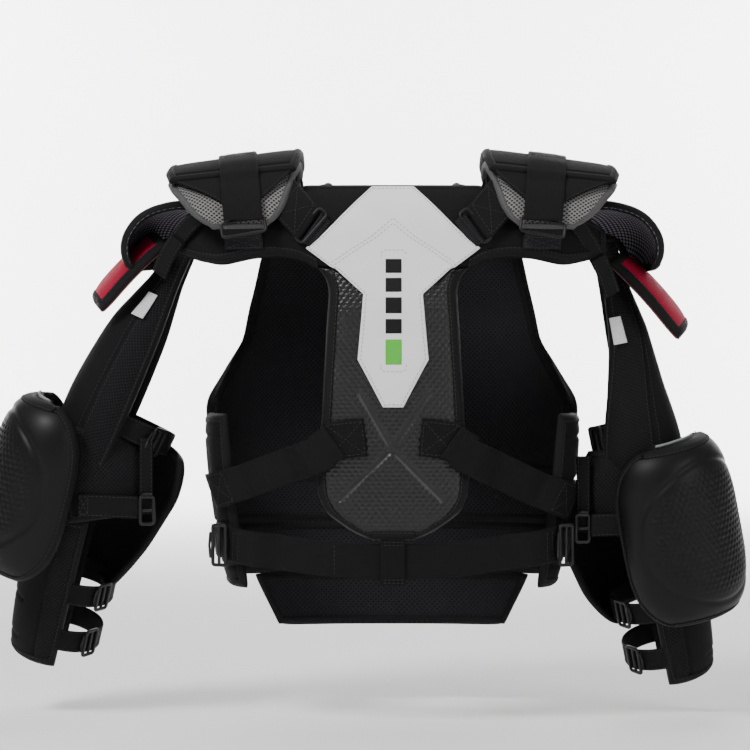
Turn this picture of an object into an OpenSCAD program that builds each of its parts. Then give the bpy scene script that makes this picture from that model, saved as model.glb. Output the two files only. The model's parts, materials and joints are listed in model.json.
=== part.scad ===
// Padded chest, shoulder and arm protector for an ice hockey goalkeeper.
// Millimetres. +Y is the way the wearer faces, +X is the wearer's right, +Z is up.
// The origin is on the wearer's midline, at the height of the collar's rear edge.
// Side parts are drawn for the wearer's right and mirrored for the left.

/* [Torso] */
// Depth of the body form from its middle to the shoulder blades
blade_depth = 112; // [104:1:116]
// Depth of the body form from its middle to the breastbone
breast_depth = 119; // [112:1:126]
// Thickness of the back pad and yoke
back_thick = 12; // [10:0.5:13]
// Thickness of the chest padding
chest_thick = 26; // [22:1:28]
// Thickness of the rib and belly padding
belly_thick = 18; // [14:1:20]
// Length of the back pad's tip below the collar
spine_length = 351; // [345:1:356]

/* [Straps] */
// Width of the elastic straps
elastic_w = 36; // [30:1:38]
// Thickness of the elastic
elastic_t = 1.8; // [1.2:0.1:2.2]
// Height of the waist strap's centre line
waist_z = -374; // [-380:1:-370]
// Height of the left diagonal strap's outer end
diagonal_end_left = -304; // [-312:1:-296]
// Height of the right diagonal strap's outer end
diagonal_end_right = -316; // [-322:1:-300]

/* [Shoulders] */
// Distance of the shoulder joint from the midline
shoulder_x = 215; // [212:1:220]
// Height of the shoulder joint
shoulder_z = -66; // [-70:1:-66]
// Outer radius of the shoulder cap about its joint
deltoid_r = 64; // [60:1:65]
// Width of the floating shoulder plate
floater_w = 134; // [128:1:136]

/* [Arms] */
// How far the left upper arm stands out from straight down
left_out = 25; // [20:1:30]
// How far the right upper arm stands out from straight down
right_out = 11; // [9:1:14]
// How far the left forearm stands out from straight down
left_fore = 14; // [0:1:18]
// How far the right forearm stands out from straight down
right_fore = 12; // [0:1:18]
// Turn of the left elbow cap about the arm
left_turn = 24; // [10:1:28]
// How far the elbow caps have slid along the arms, up on the left and down on the right
cap_slide = 14; // [0:1:16]
// Forward bend of the forearms at rest
fore_bend = 16; // [10:1:18]
// Distance from the shoulder joint to the elbow joint
upper_arm_len = 246; // [240:1:252]
// Distance from the elbow joint to the wrist end of the forearm pad
forearm_len = 205; // [180:1:220]
// Outer radius of the arm padding
arm_r = 53; // [51:1:54]
// Thickness of the arm padding
arm_thick = 12; // [10:1:13]

/* [Hidden] */

gap = 0.4;              // between pieces that touch
rib_t = 10;             // rib pads
liner_t = 2;            // lining fabric
skin_t = 3;             // cover fabric with its backing
roundness = 2.6;        // exponent of the body form's sections
yoke_z = -96;           // where the yoke meets the back pad
hinge_z = -398;         // belly flap hinge
elbow_gap = 42;         // bare length each side of the elbow joint
arc_end = 112;          // half of the arc that the arm padding covers
slope = 0.38;           // fall of the shoulder line per mm outward

// ---- body form ------------------------------------------------------------

// Half widths of the body form, behind and in front, and its depths, by height
function wide(z, s) = s < 0
    ? lookup(z, [[-400, 164], [-300, 180], [-200, 190], [-150, 210], [-100, 235], [-50, 235],
        [-20, 200], [12, 150]])
    : lookup(z, [[-460, 160], [-400, 164], [-300, 180], [-200, 188], [-120, 190], [-50, 185], [12, 120]]);
function top_round(z) = z < -50 ? 1 : sqrt(1 - pow((z + 50) / 64, 2));
function deep(z, s) = top_round(z) * (s < 0
    ? lookup(z, [[-400, 92], [-300, 98], [-200, 108], [-120, blade_depth], [-50, blade_depth - 14]])
    : lookup(z, [[-460, 100], [-300, 112], [-200, breast_depth], [-120, breast_depth - 2],
        [-50, 96]]));
function form(p, s) = pow(abs(p.x) / wide(p.z, s), roundness)
    + pow(abs(p.y) / deep(p.z, s), roundness);
function unit(v) = v / norm(v);
function normal_at(p, s) = unit([
    form(p + [1, 0, 0], s) - form(p - [1, 0, 0], s),
    form(p + [0, 1, 0], s) - form(p - [0, 1, 0], s),
    form(p + [0, 0, 1], s) - form(p - [0, 0, 1], s)]);
// Point over the back (s = -1) or chest (s = 1) at x, raised off the form
function over(x, z, s, off) = let (
        k = min(0.999, abs(x) / wide(z, s)),
        p = [x, s * deep(z, s) * pow(1 - pow(k, roundness), 1 / roundness), z])
    p + off * normal_at(p, s);
// Point round the form at angle t, where 0 is +X and 90 is the chest
function spow(v) = sign(v) * pow(abs(v), 2 / roundness);
function round_form(t, z, off) = let (
        s = sin(t) < 0 ? -1 : 1,
        p = [wide(z, s) * spow(cos(t)), deep(z, s) * spow(sin(t)), z],
        n = abs(sin(t)) < 0.05 ? [sign(cos(t)), 0, 0] : normal_at(p, s))
    p + off * n;

// ---- building blocks ------------------------------------------------------

function mix(a, b, u) = a + (b - a) * u;
// 0 at a pad's edges, 1 over its middle
function crown(u, v, k = 6) = (1 - pow(abs(2 * u - 1), k)) * (1 - pow(abs(2 * v - 1), k));

// Closed solid between two gridded surfaces; each surface is a function of u and v
module slab(nu, nv, outer, inner) {
    n = (nu + 1) * (nv + 1);
    at = function (i, j) i * (nv + 1) + j;
    pts = concat(
        [for (i = [0 : nu], j = [0 : nv]) outer(i / nu, j / nv)],
        [for (i = [0 : nu], j = [0 : nv]) inner(i / nu, j / nv)]);
    a = pts[at(0, 0)];
    flip = cross(pts[at(1, 0)] - a, pts[at(0, 1)] - a) * (a - pts[at(0, 0) + n]) > 0;
    rim = concat([for (i = [0 : nu - 1]) [at(i, 0), at(i + 1, 0)]],
        [for (j = [0 : nv - 1]) [at(nu, j), at(nu, j + 1)]],
        [for (i = [nu : -1 : 1]) [at(i, nv), at(i - 1, nv)]],
        [for (j = [nv : -1 : 1]) [at(0, j), at(0, j - 1)]]);
    tris = concat(
        [for (i = [0 : nu - 1], j = [0 : nv - 1]) each
            [[at(i, j), at(i, j + 1), at(i + 1, j + 1)], [at(i, j), at(i + 1, j + 1), at(i + 1, j)]]],
        [for (i = [0 : nu - 1], j = [0 : nv - 1]) each
            [[n + at(i, j), n + at(i + 1, j + 1), n + at(i, j + 1)],
             [n + at(i, j), n + at(i + 1, j), n + at(i + 1, j + 1)]]],
        [for (e = rim) each [[e[0], e[1], n + e[1]], [e[0], n + e[1], n + e[0]]]]);
    polyhedron(pts, flip ? tris : [for (t = tris) [t[2], t[1], t[0]]]);
}
// Pad on the back or chest whose half width depends on height
module height_pad(nu, nv, z0, z1, half, s, off, t, edge = 0.5, k = 6)
    slab(nu, nv,
        function (u, v) let (z = mix(z0, z1, v))
            over(half(z) * (2 * u - 1), z, s, off + t * mix(edge, 1, crown(u, v, k))),
        function (u, v) let (z = mix(z0, z1, v)) over(half(z) * (2 * u - 1), z, s, off));
// Pad round the form between two angles, which may depend on height
module round_pad(nu, nv, z0, z1, t0, t1, off, t, edge = 0.5, k = 6)
    slab(nu, nv,
        function (u, v) let (z = mix(z0, z1, v))
            round_form(mix(t0(z), t1(z), u), z, off + t * mix(edge, 1, crown(u, v, k))),
        function (u, v) let (z = mix(z0, z1, v)) round_form(mix(t0(z), t1(z), u), z, off));
// Strap over the back from one place to another; off gives its height off the form
module back_strap(n, x0, z0, x1, z1, w, off)
    let (d = unit([z0 - z1, x1 - x0]) * w / 2)
    slab(n, 1,
        function (u, v) over(mix(x0, x1, u) + d.x * (2 * v - 1), mix(z0, z1, u) + d.y * (2 * v - 1),
            -1, off(u) + elastic_t),
        function (u, v) over(mix(x0, x1, u) + d.x * (2 * v - 1), mix(z0, z1, u) + d.y * (2 * v - 1),
            -1, off(u)));
// Shell round an upright axis between two angles, from height z0 down to z1
module sleeve(nu, nv, z0, z1, a0, a1, r_out, r_in)
    slab(nu, nv,
        function (u, v) let (a = mix(a0, a1, u), r = r_out(u, v))
            [r * cos(a), r * sin(a), mix(z0, z1, v)],
        function (u, v) let (a = mix(a0, a1, u), r = r_in(u, v))
            [r * cos(a), r * sin(a), mix(z0, z1, v)]);
// Rectangular ring, flat in XZ, with bars of square section
module ring_frame(w, h, bar) difference() {
    cube([w, bar, h], center = true);
    cube([w - 2 * bar, bar + 1, h - 2 * bar], center = true);
}
// Places a child on the back at x, z, facing outward
module on_back(x, z, off, lean = 0) {
    p = over(x, z, -1, off);
    n = normal_at(over(x, z, -1, 0), -1);
    translate(p) rotate([0, lean, atan2(n.x, -n.y)]) rotate([asin(n.z), 0, 0]) children();
}

// ---- frames of the moving parts -------------------------------------------

function out_of(left) = left ? left_out : right_out;
function fore_of(left) = left ? left_fore : right_fore;
function turn_of(left) = left ? left_turn : 0;
module sided(left) mirror([left ? 1 : 0, 0, 0]) children();
module shoulder_frame(left) sided(left) translate([shoulder_x, 0, shoulder_z]) children();
module arm_frame(left) shoulder_frame(left) rotate([0, -out_of(left), 0]) children();
module elbow_at(left) sided(left) translate([shoulder_x + upper_arm_len * sin(out_of(left)), 0,
    shoulder_z - upper_arm_len * cos(out_of(left))]) children();
module fore_frame(left) elbow_at(left) rotate([0, -fore_of(left), 0]) rotate([fore_bend, 0, 0])
    children();
module cap_frame(left) elbow_at(left) rotate([0, -(out_of(left) + fore_of(left)) / 2, 0])
    rotate([fore_bend / 2, 0, turn_of(left)]) translate([0, 0, left ? cap_slide : -cap_slide])
    children();

// ---- back -----------------------------------------------------------------

function spine_half(z) = lookup(z, [[-spine_length, 17], [-345, 34], [-337, 47], [-323, 66],
    [-306, 74], [-281, 76], [-231, 70], [-141, 65], [yoke_z, 64]]);
function yoke_top(x) = lookup(x, [[0, 1], [88, 1], [112, -8], [150, -27], [198, -52]]);
function yoke_low(x) = lookup(x, [[0, yoke_z], [62, yoke_z], [68, -80], [84, -66], [111, -63],
    [140, -67], [171, -74], [198, -69]]);
function overlay_half(z) = lookup(z, [[-217, 10], [-170, 35], [-108, 30], [-80, 60], [-61.5, 86],
    [-6, 21]]);
function deeper(f, by) = function (z) max(2, f(z) - by);

module spine_liner() color("#3a3b3d")
    height_pad(6, 12, yoke_z - gap, -spine_length, function (z) spine_half(z), -1, 0, liner_t, 1);
module spine_foam() color("#8c8f94")
    height_pad(6, 12, yoke_z - 3, 4 - spine_length, deeper(function (z) spine_half(z), 4), -1,
        liner_t + 0.8, back_thick - liner_t - skin_t - 2, 0.6);
module spine_cover() color("#1d1e20")
    height_pad(6, 14, yoke_z - gap, -spine_length, function (z) spine_half(z), -1,
        back_thick - skin_t, skin_t, 0.7);
module yoke_layer(inset, off, t, edge)
    slab(18, 4,
        function (u, v) yoke_point(u, v, inset, off + t * mix(edge, 1, crown(u, v))),
        function (u, v) yoke_point(u, v, inset, off));
function yoke_point(u, v, inset, off) = let (x = mix(-198 + inset, 198 - inset, u), a = abs(x))
    over(x, mix(yoke_top(a) - inset, yoke_low(a) + inset, v), -1, off);
module yoke_foam() color("#8c8f94")
    yoke_layer(4, 0, back_thick - skin_t - 1.4, 0.6);
module yoke_cover() color("#232427") yoke_layer(0, back_thick - skin_t, skin_t, 0.7);
module yoke_overlay() color("#d9dade")
    height_pad(6, 12, -6, -217, function (z) overlay_half(z), -1, back_thick + gap, 1.6, 1);
module back_badge() color("#1f8a4c")
    height_pad(2, 8, -68, -178, function (z) 10, -1, back_thick + 2.4, 1, 1);
module strap_tabs() color("#26272a")
    for (s = [-1, 1]) back_strap(3, s * 26, -246, s * 64, -250, 38,
        function (u) back_thick + gap);
module diagonal_strap(s, end_z) color("#2c2d30")
    back_strap(14, s * 68, -262, s * 174, end_z, elastic_w,
        function (u) max(mix(back_thick + elastic_t + 3 * gap, 3, min(1, max(0, u * 5 - 0.9))),
            mix(3, rib_t + 5.4, min(1, max(0, u * 7 - 5)))));
module diagonal_strap_left() diagonal_strap(-1, diagonal_end_left);
module diagonal_strap_right() diagonal_strap(1, diagonal_end_right);
module waist_strap() color("#2c2d30")
    let (at = function (u, v, off) let (x = mix(-156, 156, u))
        over(x, waist_z + 18 * pow(x / 156, 2) + elastic_w / 2 * (2 * v - 1), -1,
            off + (rib_t + 0.5) * min(1, max(0, (abs(x) - 112) / 22))))
    slab(26, 1, function (u, v) at(u, v, 3 + elastic_t), function (u, v) at(u, v, 3));
module waist_loop() color("#26272a")
    height_pad(2, 4, waist_z + elastic_w / 2 + 5, waist_z - elastic_w / 2 - 5, function (z) 13, -1,
        3 + elastic_t + 1, 1.8, 1);
module waist_buckles() color("#151617")
    for (s = [-1, 1]) on_back(s * 166, waist_z + 20, rib_t + 10) ring_frame(14, 46, 4);

// ---- chest ----------------------------------------------------------------

// Angle at which the chest padding ends, which clears the armholes
function chest_angle(z) = lookup(z, [[-292, 13], [-215, 13], [-190, 26], [-150, 40], [-90, 46],
    [-40, 50]]);
module chest_layer(nu, nv, z0, z1, more, off, t, edge)
    round_pad(nu, nv, z0, z1, function (z) chest_angle(z) + more,
        function (z) 180 - chest_angle(z) - more, off, t, edge);
module chest_liner() color("#3a3b3d") chest_layer(12, 8, -42, -292, 0, 0, liner_t, 1);
module chest_foam() color("#8c8f94")
    chest_layer(12, 8, -46, -288, 3, liner_t + 1.6, chest_thick - 14, 0.5);
module sternum_plate() color("#c9ccd1")
    round_pad(6, 6, -70, -200, function (z) 66, function (z) 114, chest_thick - 9, 2.4, 1);
module chest_cover() color("#232427")
    chest_layer(14, 10, -40, -292, 0, chest_thick - 5 + gap, 5, 0.7);
module pec_blocks() color("#d9dade")
    for (s = [0, 1]) mirror([s, 0, 0])
        round_pad(6, 6, -72, -196, function (z) chest_angle(z) + 9, function (z) 84,
            chest_thick + gap + 1, 9, 0.3, 4);
module belly_upper() color("#232427")
    round_pad(12, 3, -294, -343, function (z) 18, function (z) 162, 0, belly_thick, 0.45);
module belly_middle() color("#d9dade")
    round_pad(12, 3, -345, -395, function (z) 20, function (z) 160, 0, belly_thick - 1, 0.45);
module belly_lower() color("#232427")
    round_pad(12, 3, hinge_z - 1, -452, function (z) 34 + (hinge_z - z) / 4,
        function (z) 146 - (hinge_z - z) / 4, 0, belly_thick - 2, 0.45);
module rib_pad(s) color("#2b2c2f") mirror([s < 0 ? 1 : 0, 0, 0])
    round_pad(6, 7, -226, -400, function (z) z < -293 ? 8 : 6, function (z) -30, 0,
        rib_t, 0.5);
module rib_pad_left() rib_pad(-1);
module rib_pad_right() rib_pad(1);

// ---- shoulders ------------------------------------------------------------

// Arch over the shoulder: a runs from the back (180) over the top (90) to the chest (0)
function arch(x, a, ry, rz, drop) = [x, ry * cos(a), -50 + (rz - drop) * sin(a)];
module shoulder_straps() color("#2b2c2f")
    for (s = [0, 1]) mirror([s, 0, 0])
        let (at = function (u, v, off) let (x = mix(64, 148, v))
            arch(x, mix(150, 30, u), 74 + off, 56 + off, slope * (x - 64)))
        slab(10, 3, function (u, v) at(u, v, 10), function (u, v) at(u, v, 0));
module anchor_tabs() color("#26272a")
    for (s = [-1, 1]) {
        back_strap(3, s * 147, -50, s * 146, -62, 34, function (u) back_thick + 1.4);
        back_strap(3, s * 94, -36, s * 83, -49, 32, function (u) back_thick + 2.2);
    }
module anchor_rings() color("#151617")
    for (s = [-1, 1]) {
        on_back(s * 149, -48, back_thick + 7.4) ring_frame(44, 14, 3.5);
        on_back(s * 96, -31, back_thick + 11, s * 40) ring_frame(36, 14, 3.5);
    }

floater_x = 162;        // middle of the floating plate
floater_ry = 113;
floater_rz = 72;
function floater_half(a) = floater_w / 2 * lookup(a < 90 ? a : 180 - a,
    [[8, 0.36], [14, 0.56], [24, 0.72], [44, 0.9], [62, 1], [90, 1]]);
function floater_point(u, a, off) = let (x = floater_x + floater_half(a) * (2 * u - 1))
    arch(x, a, floater_ry + off, floater_rz + off, 0.135 * (x - floater_x));
module floater_layer(nu, nv, a0, a1, off, t, edge, share = 1)
    slab(nu, nv,
        function (u, v) floater_point(0.5 + (u - 0.5) * share, mix(a0, a1, v),
            off + t * mix(edge, 1, crown(u, v))),
        function (u, v) floater_point(0.5 + (u - 0.5) * share, mix(a0, a1, v), off));
module floater_pad(left) sided(left) color("#6d7076") floater_layer(6, 16, 172, 8, 0, 10, 0.5);
module floater_plate(left) sided(left) color("#1d1e20")
    floater_layer(6, 8, 118, 62, 10 + gap, 6, 0.6);
module floater_strap(left) sided(left) color("#26272a")
    slab(2, 8,
        function (u, v) floater_point(mix(0.3, 0.6, u), mix(122, 168, v), 10 + gap + elastic_t),
        function (u, v) floater_point(mix(0.3, 0.6, u), mix(122, 168, v), 10 + gap));
module floater_pad_left() floater_pad(true);
module floater_pad_right() floater_pad(false);
module floater_plate_left() floater_plate(true);
module floater_plate_right() floater_plate(false);
module floater_strap_left() floater_strap(true);
module floater_strap_right() floater_strap(false);

// Dome over the shoulder joint: a is measured outward from straight up
cap_inner_rim = -14;
cap_outer_rim = 94;
cap_half = 57;
function dome(u, v, r) = let (a = mix(cap_inner_rim, cap_outer_rim, u), y = cap_half * (2 * v - 1),
        rr = r - 13 * pow(y / cap_half, 2) * (1 - 0.3 * u))
    [rr * sin(a), y * (1 - 0.22 * pow(2 * u - 1, 4)), rr * cos(a)];
module deltoid_cap(left) shoulder_frame(left) color("#8d9096")
    slab(10, 8, function (u, v) dome(u, v, deltoid_r - 3 + 3 * crown(u, v)),
        function (u, v) dome(u, v, deltoid_r - 8));
module deltoid_lining(left) shoulder_frame(left) color("#3a3b3d")
    slab(10, 8, function (u, v) dome(u, v, deltoid_r - 8 - gap),
        function (u, v) dome(u, v, deltoid_r - 11));
module bicep_plate(left) arm_frame(left) color("#a3262b")
    let (at = function (u, v, off) let (y = 50 * (2 * u - 1) * (1 - 0.25 * pow(v, 6)))
        [58 - 2 * pow(y / 50, 2) + off + 5 * v, y, mix(-32, -98, v)])
    slab(6, 5, function (u, v) at(u, v, 5 + 5 * crown(u, v)), function (u, v) at(u, v, 0));
module deltoid_cap_left() deltoid_cap(true);
module deltoid_cap_right() deltoid_cap(false);
module deltoid_lining_left() deltoid_lining(true);
module deltoid_lining_right() deltoid_lining(false);
module bicep_plate_left() bicep_plate(true);
module bicep_plate_right() bicep_plate(false);

// ---- arms -----------------------------------------------------------------

upper_top = -50;
upper_low = elbow_gap - upper_arm_len;
module upper_arm_pad(left) arm_frame(left) color("#2b2c2f")
    sleeve(14, 5, upper_top, upper_low, -arc_end, arc_end,
        function (u, v) arm_r - (arm_thick - liner_t) * 0.5 * (1 - crown(u, v)),
        function (u, v) arm_r - arm_thick + liner_t + gap);
module upper_arm_liner(left) arm_frame(left) color("#3a3b3d")
    sleeve(14, 1, upper_top - 1, upper_low + 1, 2 - arc_end, arc_end - 2,
        function (u, v) arm_r - arm_thick + liner_t, function (u, v) arm_r - arm_thick);
module cross_strap(z, w, r) sleeve(8, 1, z + w / 2, z - w / 2, arc_end + 3, 357 - arc_end,
    function (u, v) r, function (u, v) r - elastic_t);
module bicep_strap(left) arm_frame(left) color("#2c2d30") cross_strap(-182, 24, arm_r - 10.5);
module bicep_buckle(left) arm_frame(left) color("#151617")
    rotate([0, 0, -132]) translate([arm_r - 6, 0, -182]) rotate([0, 0, 90]) ring_frame(18, 30, 3.5);

fore_top = -elbow_gap;
fore_taper = 0.8;
function fore_r(v) = arm_r * mix(1, fore_taper, v);
module forearm_pad(left) fore_frame(left) color("#2b2c2f")
    sleeve(14, 6, fore_top, -forearm_len, -arc_end, arc_end,
        function (u, v) fore_r(v) - (arm_thick - liner_t) * 0.5 * (1 - crown(u, v)),
        function (u, v) fore_r(v) - arm_thick + liner_t + gap);
module forearm_liner(left) fore_frame(left) color("#3a3b3d")
    sleeve(14, 1, fore_top - 1, 1 - forearm_len, 2 - arc_end, arc_end - 2,
        function (u, v) fore_r(v) - arm_thick + liner_t, function (u, v) fore_r(v) - arm_thick);
function wing_flare(left) = left ? 10 : 0;
module forearm_wing(left) fore_frame(left) color("#6d7076")
    sleeve(6, 6, -6, -150, 118, left ? 182 : 134,
        function (u, v) arm_r + 12 + wing_flare(left) * u + 5 * crown(u, v),
        function (u, v) arm_r + 6 + wing_flare(left) * u);
strap_top = -58;
strap_low = -150;
module forearm_straps(left) fore_frame(left) color("#2c2d30")
    for (z = [strap_top, strap_low])
        cross_strap(z, 24, fore_r((z - fore_top) / (-forearm_len - fore_top)) - 5);
module forearm_buckles(left) fore_frame(left) color("#151617")
    for (z = [strap_top, strap_low]) rotate([0, 0, -132])
        translate([fore_r((z - fore_top) / (-forearm_len - fore_top)) - 1, 0, z])
            rotate([0, 0, 90]) ring_frame(18, 30, 3.5);
elbow_arc = 70;
elbow_top = 68;
elbow_low = -118;
function oval(u, v) = sqrt(max(0, 1 - pow(abs(2 * v - 1), 2.6)));
module elbow_cap(left) cap_frame(left) color("#1d1e20")
    let (at = function (u, v, off) let (
            a = -50 + elbow_arc * (2 * u - 1) * (0.3 + 0.7 * oval(u, v)),
            r = arm_r + 10 + off + 26 * (1 - pow(2 * u - 1, 2)) * oval(u, v))
        [r * cos(a), r * sin(a), mix(elbow_top, elbow_low, v)])
    slab(10, 10, function (u, v) at(u, v, 9), function (u, v) at(u, v, 0));

module upper_arm_pad_left() upper_arm_pad(true);
module upper_arm_pad_right() upper_arm_pad(false);
module upper_arm_liner_left() upper_arm_liner(true);
module upper_arm_liner_right() upper_arm_liner(false);
module bicep_strap_left() bicep_strap(true);
module bicep_strap_right() bicep_strap(false);
module bicep_buckle_left() bicep_buckle(true);
module bicep_buckle_right() bicep_buckle(false);
module forearm_pad_left() forearm_pad(true);
module forearm_pad_right() forearm_pad(false);
module forearm_liner_left() forearm_liner(true);
module forearm_liner_right() forearm_liner(false);
module forearm_wing_left() forearm_wing(true);
module forearm_wing_right() forearm_wing(false);
module forearm_straps_left() forearm_straps(true);
module forearm_straps_right() forearm_straps(false);
module forearm_buckles_left() forearm_buckles(true);
module forearm_buckles_right() forearm_buckles(false);
module elbow_cap_left() elbow_cap(true);
module elbow_cap_right() elbow_cap(false);

spine_liner();
spine_foam();
spine_cover();
yoke_foam();
yoke_cover();
yoke_overlay();
back_badge();
strap_tabs();
diagonal_strap_left();
diagonal_strap_right();
waist_strap();
waist_loop();
waist_buckles();
chest_liner();
chest_foam();
sternum_plate();
chest_cover();
pec_blocks();
belly_upper();
belly_middle();
belly_lower();
rib_pad_left();
rib_pad_right();
shoulder_straps();
anchor_tabs();
anchor_rings();
floater_pad_left();
floater_plate_left();
floater_strap_left();
floater_pad_right();
floater_plate_right();
floater_strap_right();
deltoid_cap_left();
deltoid_lining_left();
bicep_plate_left();
deltoid_cap_right();
deltoid_lining_right();
bicep_plate_right();
upper_arm_pad_left();
upper_arm_liner_left();
bicep_strap_left();
bicep_buckle_left();
upper_arm_pad_right();
upper_arm_liner_right();
bicep_strap_right();
bicep_buckle_right();
forearm_pad_left();
forearm_liner_left();
forearm_wing_left();
forearm_straps_left();
forearm_buckles_left();
forearm_pad_right();
forearm_liner_right();
forearm_wing_right();
forearm_straps_right();
forearm_buckles_right();
elbow_cap_left();
elbow_cap_right();
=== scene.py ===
import json
import math

import bpy
import numpy as np
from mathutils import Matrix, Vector


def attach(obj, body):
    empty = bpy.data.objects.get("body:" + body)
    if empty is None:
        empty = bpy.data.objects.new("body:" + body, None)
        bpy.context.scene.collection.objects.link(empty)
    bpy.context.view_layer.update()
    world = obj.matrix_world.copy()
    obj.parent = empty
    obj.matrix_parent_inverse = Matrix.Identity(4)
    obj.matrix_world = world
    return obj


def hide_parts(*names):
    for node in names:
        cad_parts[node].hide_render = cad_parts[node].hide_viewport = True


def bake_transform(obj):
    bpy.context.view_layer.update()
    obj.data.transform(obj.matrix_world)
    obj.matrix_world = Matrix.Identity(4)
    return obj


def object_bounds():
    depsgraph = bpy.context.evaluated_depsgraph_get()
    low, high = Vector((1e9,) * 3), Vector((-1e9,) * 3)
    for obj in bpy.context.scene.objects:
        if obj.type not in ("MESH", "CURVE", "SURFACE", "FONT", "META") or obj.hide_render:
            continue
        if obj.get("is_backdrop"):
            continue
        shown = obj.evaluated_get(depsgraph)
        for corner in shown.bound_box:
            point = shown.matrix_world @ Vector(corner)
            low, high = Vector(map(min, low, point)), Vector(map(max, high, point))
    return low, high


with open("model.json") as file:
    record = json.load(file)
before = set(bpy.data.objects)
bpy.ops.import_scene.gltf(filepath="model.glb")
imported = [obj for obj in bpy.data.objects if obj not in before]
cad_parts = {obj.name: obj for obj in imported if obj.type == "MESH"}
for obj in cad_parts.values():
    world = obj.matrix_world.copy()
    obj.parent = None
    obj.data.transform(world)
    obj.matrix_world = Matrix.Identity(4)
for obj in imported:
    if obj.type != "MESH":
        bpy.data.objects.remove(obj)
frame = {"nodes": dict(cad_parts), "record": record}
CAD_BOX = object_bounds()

MM = 0.001
RECORD = frame["record"]
JOINTS = {j["name"]: j for j in RECORD["behaviour"]["joints"]}
SIDES = {"left": -1, "right": 1}

# ---- the body form that the torso pieces lie on, in millimetres -------------

ROUNDNESS = 2.6
BACK_WIDE = ((-400, 164), (-300, 180), (-200, 190), (-150, 210), (-100, 235), (-50, 235),
             (-20, 200), (12, 150))
FRONT_WIDE = ((-460, 160), (-400, 164), (-300, 180), (-200, 188), (-120, 190), (-50, 185), (12, 120))
BACK_DEEP = ((-400, 92), (-300, 98), (-200, 108), (-120, 112), (-50, 98))
FRONT_DEEP = ((-460, 100), (-300, 112), (-200, 119), (-120, 117), (-50, 96))
ROUND_FROM, ROUND_RISE = -50.0, 64.0     # height where the depth starts to round over, and how far it runs
BACK_THICK = 12.0
CHEST_THICK = 26.0
BELLY_THICK = 18.0
RIB_THICK = 10.0
SPINE_LENGTH = 351.0
WAIST_Z = -374.0
ELASTIC_W, ELASTIC_T = 36.0, 1.8


def lookup(z, table, soft=10.0):
    """Straight-line table lookup, averaged over a short height so that no crease shows."""
    xs, ys = zip(*table)
    z = np.asarray(z, float)
    return sum(np.interp(z + d * soft, xs, ys) for d in (-1, -0.5, 0, 0.5, 1)) / 5


def wide(z, s):
    return lookup(z, BACK_WIDE if s < 0 else FRONT_WIDE)


def deep(z, s):
    top = np.sqrt(np.clip(1 - ((np.maximum(z, ROUND_FROM) - ROUND_FROM) / ROUND_RISE) ** 2, 0.01, 1))
    return top * lookup(z, BACK_DEEP if s < 0 else FRONT_DEEP)


def form_normal(p, s):
    def form(q):
        x, y, z = np.abs(q[..., 0]), np.abs(q[..., 1]), q[..., 2]
        return (x / wide(z, s)) ** ROUNDNESS + (y / deep(z, s)) ** ROUNDNESS

    n = np.stack([form(p + e) - form(p - e) for e in np.eye(3) * 2.0], -1)
    return n / np.linalg.norm(n, axis=-1, keepdims=True)


def over(x, z, s, off):
    """Points over the back (s = -1) or chest (s = 1), raised off the form."""
    x, z = np.broadcast_arrays(np.asarray(x, float), np.asarray(z, float))
    k = np.minimum(0.999, np.abs(x) / wide(z, s))
    p = np.stack([x, s * deep(z, s) * (1 - k**ROUNDNESS) ** (1 / ROUNDNESS), z], -1)
    return p + np.asarray(off, float)[..., None] * form_normal(p, s)


def round_form(t, z, off):
    """Points round the form at angle t in degrees, where 0 is +X and 90 is the chest."""
    t, z = np.broadcast_arrays(np.radians(t), np.asarray(z, float))
    front = (np.sin(t) >= 0)[..., None]
    e = 2 / ROUNDNESS
    out = []
    for s in (-1, 1):
        p = np.stack([wide(z, s) * np.sign(np.cos(t)) * np.abs(np.cos(t)) ** e,
                      deep(z, s) * np.sign(np.sin(t)) * np.abs(np.sin(t)) ** e, z], -1)
        out.append(p + np.asarray(off, float)[..., None] * form_normal(p, s))
    return np.where(front, out[1], out[0])


def mix(a, b, u):
    return a + (b - a) * u


def ease(x):
    x = np.clip(x, 0, 1)
    return x * x * (3 - 2 * x)


def crown(u, v, k=6):
    return (1 - np.abs(2 * u - 1) ** k) * (1 - np.abs(2 * v - 1) ** k)


def crowned(t, edge, k=6):
    """Thickness t in the middle, thinning to t * edge at the rim."""
    return lambda u, v: t * mix(edge, 1, crown(u, v, k))


def pressed(depth, distance, width):
    """A pressed line: how deep it is at a distance from its middle."""
    return -depth * np.exp(-((distance / width) ** 2))


def spread(*parts):
    """Points from coordinates whose shapes broadcast."""
    return np.stack(np.broadcast_arrays(*parts), -1)


# ---- materials ----------------------------------------------------------------


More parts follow.
